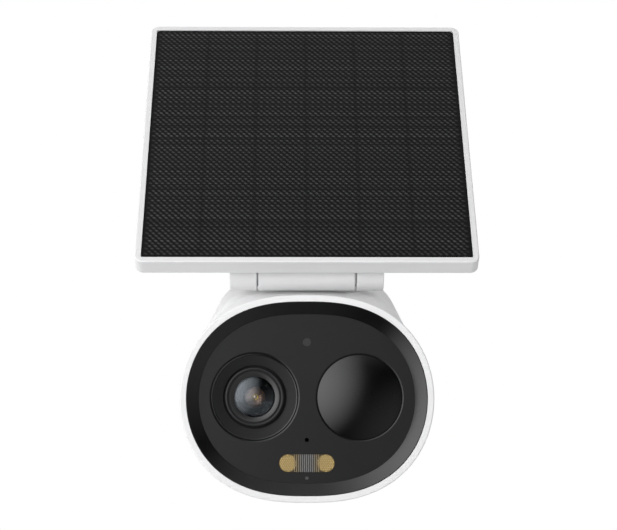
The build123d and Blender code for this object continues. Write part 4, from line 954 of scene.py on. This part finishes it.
def thread_cut(turns):
    """How deep the thread cuts into the bore, after a number of turns."""
    return THREAD_DEPTH * (1 - abs(2 * (turns % 1.0) - 1))


def add_ring(build, depth, radii):
    """Closed ring of vertices about Y, with a radius for each."""
    ring = []
    for step, radius in enumerate(radii):
        angle = 2 * math.pi * step / len(radii)
        place = (radius * math.cos(angle), depth, radius * math.sin(angle))
        ring.append(build.verts.new(Vector(place) * MM))
    return ring


def make_threaded_insert():
    """Brass insert whose bore has a helical thread, with a chamfer at its mouth."""
    low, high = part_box("mount_insert")
    front, back = low.y / MM, high.y / MM
    build = bmesh.new()
    rings = []
    rows = round((back - front) / THREAD_PITCH * THREAD_ROWS)
    for row in range(rows + 1):
        depth = front + (back - front) * row / rows
        mouth = max(0.0, MOUTH_DEPTH - (back - depth))
        radii = []
        for step in range(RING_VERTICES):
            cut = thread_cut(depth / THREAD_PITCH + step / RING_VERTICES)
            radii.append(BORE_RADIUS + max(cut, mouth))
        rings.append(add_ring(build, depth, radii))
    for depth, radius in ((back, INSERT_RADIUS - INSERT_CHAMFER),
                          (back - INSERT_CHAMFER, INSERT_RADIUS), (front, INSERT_RADIUS)):
        rings.append(add_ring(build, depth, [radius] * RING_VERTICES))
    for inner, outer in zip(rings, rings[1:] + rings[:1]):
        bridge(build, inner, outer)
    bmesh.ops.recalc_face_normals(build, faces=build.faces)
    middle = Vector(((low.x + high.x) / 2, 0.0, (low.z + high.z) / 2))
    bmesh.ops.translate(build, verts=build.verts, vec=middle)
    mesh = finished_mesh("threaded_insert", build)
    shade(mesh)
    finish_piece("threaded_insert", mesh, BRASS, "camera", "brass", "mount_insert")


make_solar_film()
make_trim_ring()
make_lens_head()
make_lens_cone()
make_retaining_ring()
make_front_glass()
make_inner_glass()
make_dome()
make_spotlight()
make_threaded_insert()

# ---- Studio ---------------------------------------------------------------------------------
WORLD_FILL = 0.21               # light from all round
SOFTBOXES = (                   # name, place, size, power; metres and watts
    ("key_softbox", (-0.80, -0.78, 0.22), 1.1, 12.4),
    ("front_softbox", (0.30, -1.05, 0.20), 0.9, 3.6),
    ("rear_softbox", (-0.10, 1.05, -0.02), 1.0, 7.0),
)
MIRROR_DARK = 0.02              # what mirrors show of the studio between its glows
MIRROR_BACKDROP = (0.1, 0.5)    # Y of a direction, over which the mirrored studio turns white
GLOWS = (                       # middle of the glow, cosine of its reach, strength
    ((-0.85, -0.45, 0.28), 0.35, 3.3),
    ((0.0, 0.30, 0.95), 0.46, 0.8),
    ((0.75, -0.30, -0.60), 0.40, 0.40),
)
FLOOR_DROP = 0.12
FLOOR_RADIUS = 1.0
FLOOR_SIDES = 96
FLOOR_FADE = (0.25, 0.95)       # where the floor turns white, as shares of its radius
FLOOR_WHITES = (0.35, 1.0)      # how white it is at those places
CAMERA_PLACE = Vector((-6.22, -565.31, -1.98)) * MM
CAMERA_PITCH = math.radians(4.72)
CAMERA_YAW = math.radians(0.75)
CAMERA_LENS = 98.95
CAMERA_SENSOR = 36.0


def make_world():
    """White background; even fill light; and for mirrors a dark studio with three soft glows."""
    world = bpy.data.worlds.new("studio")
    world.use_nodes = True
    bpy.context.scene.world = world
    tree = world.node_tree
    background = tree.nodes["Background"]
    feed(tree, background, "Color", opaque((1.0, 1.0, 1.0)))
    way = add(tree, "ShaderNodeTexCoord").outputs["Generated"]
    mirrored = spread(tree, parts_of(tree, way)["Y"], *MIRROR_BACKDROP, MIRROR_DARK, 1.0)
    for middle, reach, strength in GLOWS:
        nearness = dot(tree, way, Vector(middle).normalized())
        glow = spread(tree, nearness, reach, 1.0, 0.0, strength)
        mirrored = math_node(tree, "ADD", mirrored, glow)
    path = add(tree, "ShaderNodeLightPath").outputs
    bent = math_node(tree, "MAXIMUM", path["Is Glossy Ray"], path["Is Transmission Ray"])
    lit = mix_numbers(tree, bent, WORLD_FILL, mirrored)
    feed(tree, background, "Strength", mix_numbers(tree, path["Is Camera Ray"], lit, 1.0))


def make_softbox(name, place, size, power):
    """Square lamp aimed at the object; mirrors and glass show the world's glows instead of it."""
    lamp = bpy.data.lights.new(name, "AREA")
    lamp.shape = "SQUARE"
    lamp.size = size
    lamp.energy = power
    light = bpy.data.objects.new(name, lamp)
    target = (cad_box[0] + cad_box[1]) / 2
    light.location = place
    light.rotation_euler = (target - Vector(place)).to_track_quat("-Z", "Y").to_euler()
    light.visible_camera = False
    light.visible_glossy = False
    light.visible_transmission = False
    bpy.context.scene.collection.objects.link(light)


def mix_shaders(tree, factor, first, second):
    node = add(tree, "ShaderNodeMixShader")
    for socket, source in enumerate((factor, first, second)):
        feed(tree, node, socket, source)
    return node.outputs[0]


def make_floor():
    """Pale disc that shows the shadow near the object and fades to the white around it.

    From below it is clear, so that the object's underside can be seen."""
    build = bmesh.new()
    bmesh.ops.create_circle(build, cap_ends=True, segments=FLOOR_SIDES, radius=FLOOR_RADIUS)
    mesh = finished_mesh("floor", build)
    floor = bpy.data.objects.new("floor", mesh)
    floor.location.z = cad_box[0].z - FLOOR_DROP
    bpy.context.scene.collection.objects.link(floor)
    material, tree, shader, place = surface("pale_floor", (0.9, 0.9, 0.9), 0.9)
    length = add(tree, "ShaderNodeVectorMath", operation="LENGTH")
    feed(tree, length, 0, place)
    start, end = (share * FLOOR_RADIUS for share in FLOOR_FADE)
    far = spread(tree, length.outputs["Value"], start, end, *FLOOR_WHITES)
    seen = add(tree, "ShaderNodeLightPath").outputs["Is Camera Ray"]
    white = add(tree, "ShaderNodeEmission").outputs[0]
    clear = add(tree, "ShaderNodeBsdfTransparent").outputs[0]
    below = add(tree, "ShaderNodeNewGeometry").outputs["Backfacing"]
    fading = mix_shaders(tree, math_node(tree, "MULTIPLY", far, seen), shader.outputs[0], white)
    feed(tree, tree.nodes["Material Output"], "Surface", mix_shaders(tree, below, fading, clear))
    coat(mesh, material)
    floor.visible_glossy = False


def make_camera():
    """Camera in front of the object, level with its housing and tilted up a little."""
    data = bpy.data.cameras.new("camera")
    data.sensor_width = CAMERA_SENSOR
    data.lens = CAMERA_LENS
    camera = bpy.data.objects.new("camera", data)
    camera.location = CAMERA_PLACE
    camera.rotation_euler = (math.pi / 2 + CAMERA_PITCH, 0, -CAMERA_YAW)
    bpy.context.scene.collection.objects.link(camera)
    bpy.context.scene.camera = camera


make_world()
for softbox in SOFTBOXES:
    make_softbox(*softbox)
make_floor()
make_camera()
bpy.context.scene.view_settings.view_transform = "Standard"
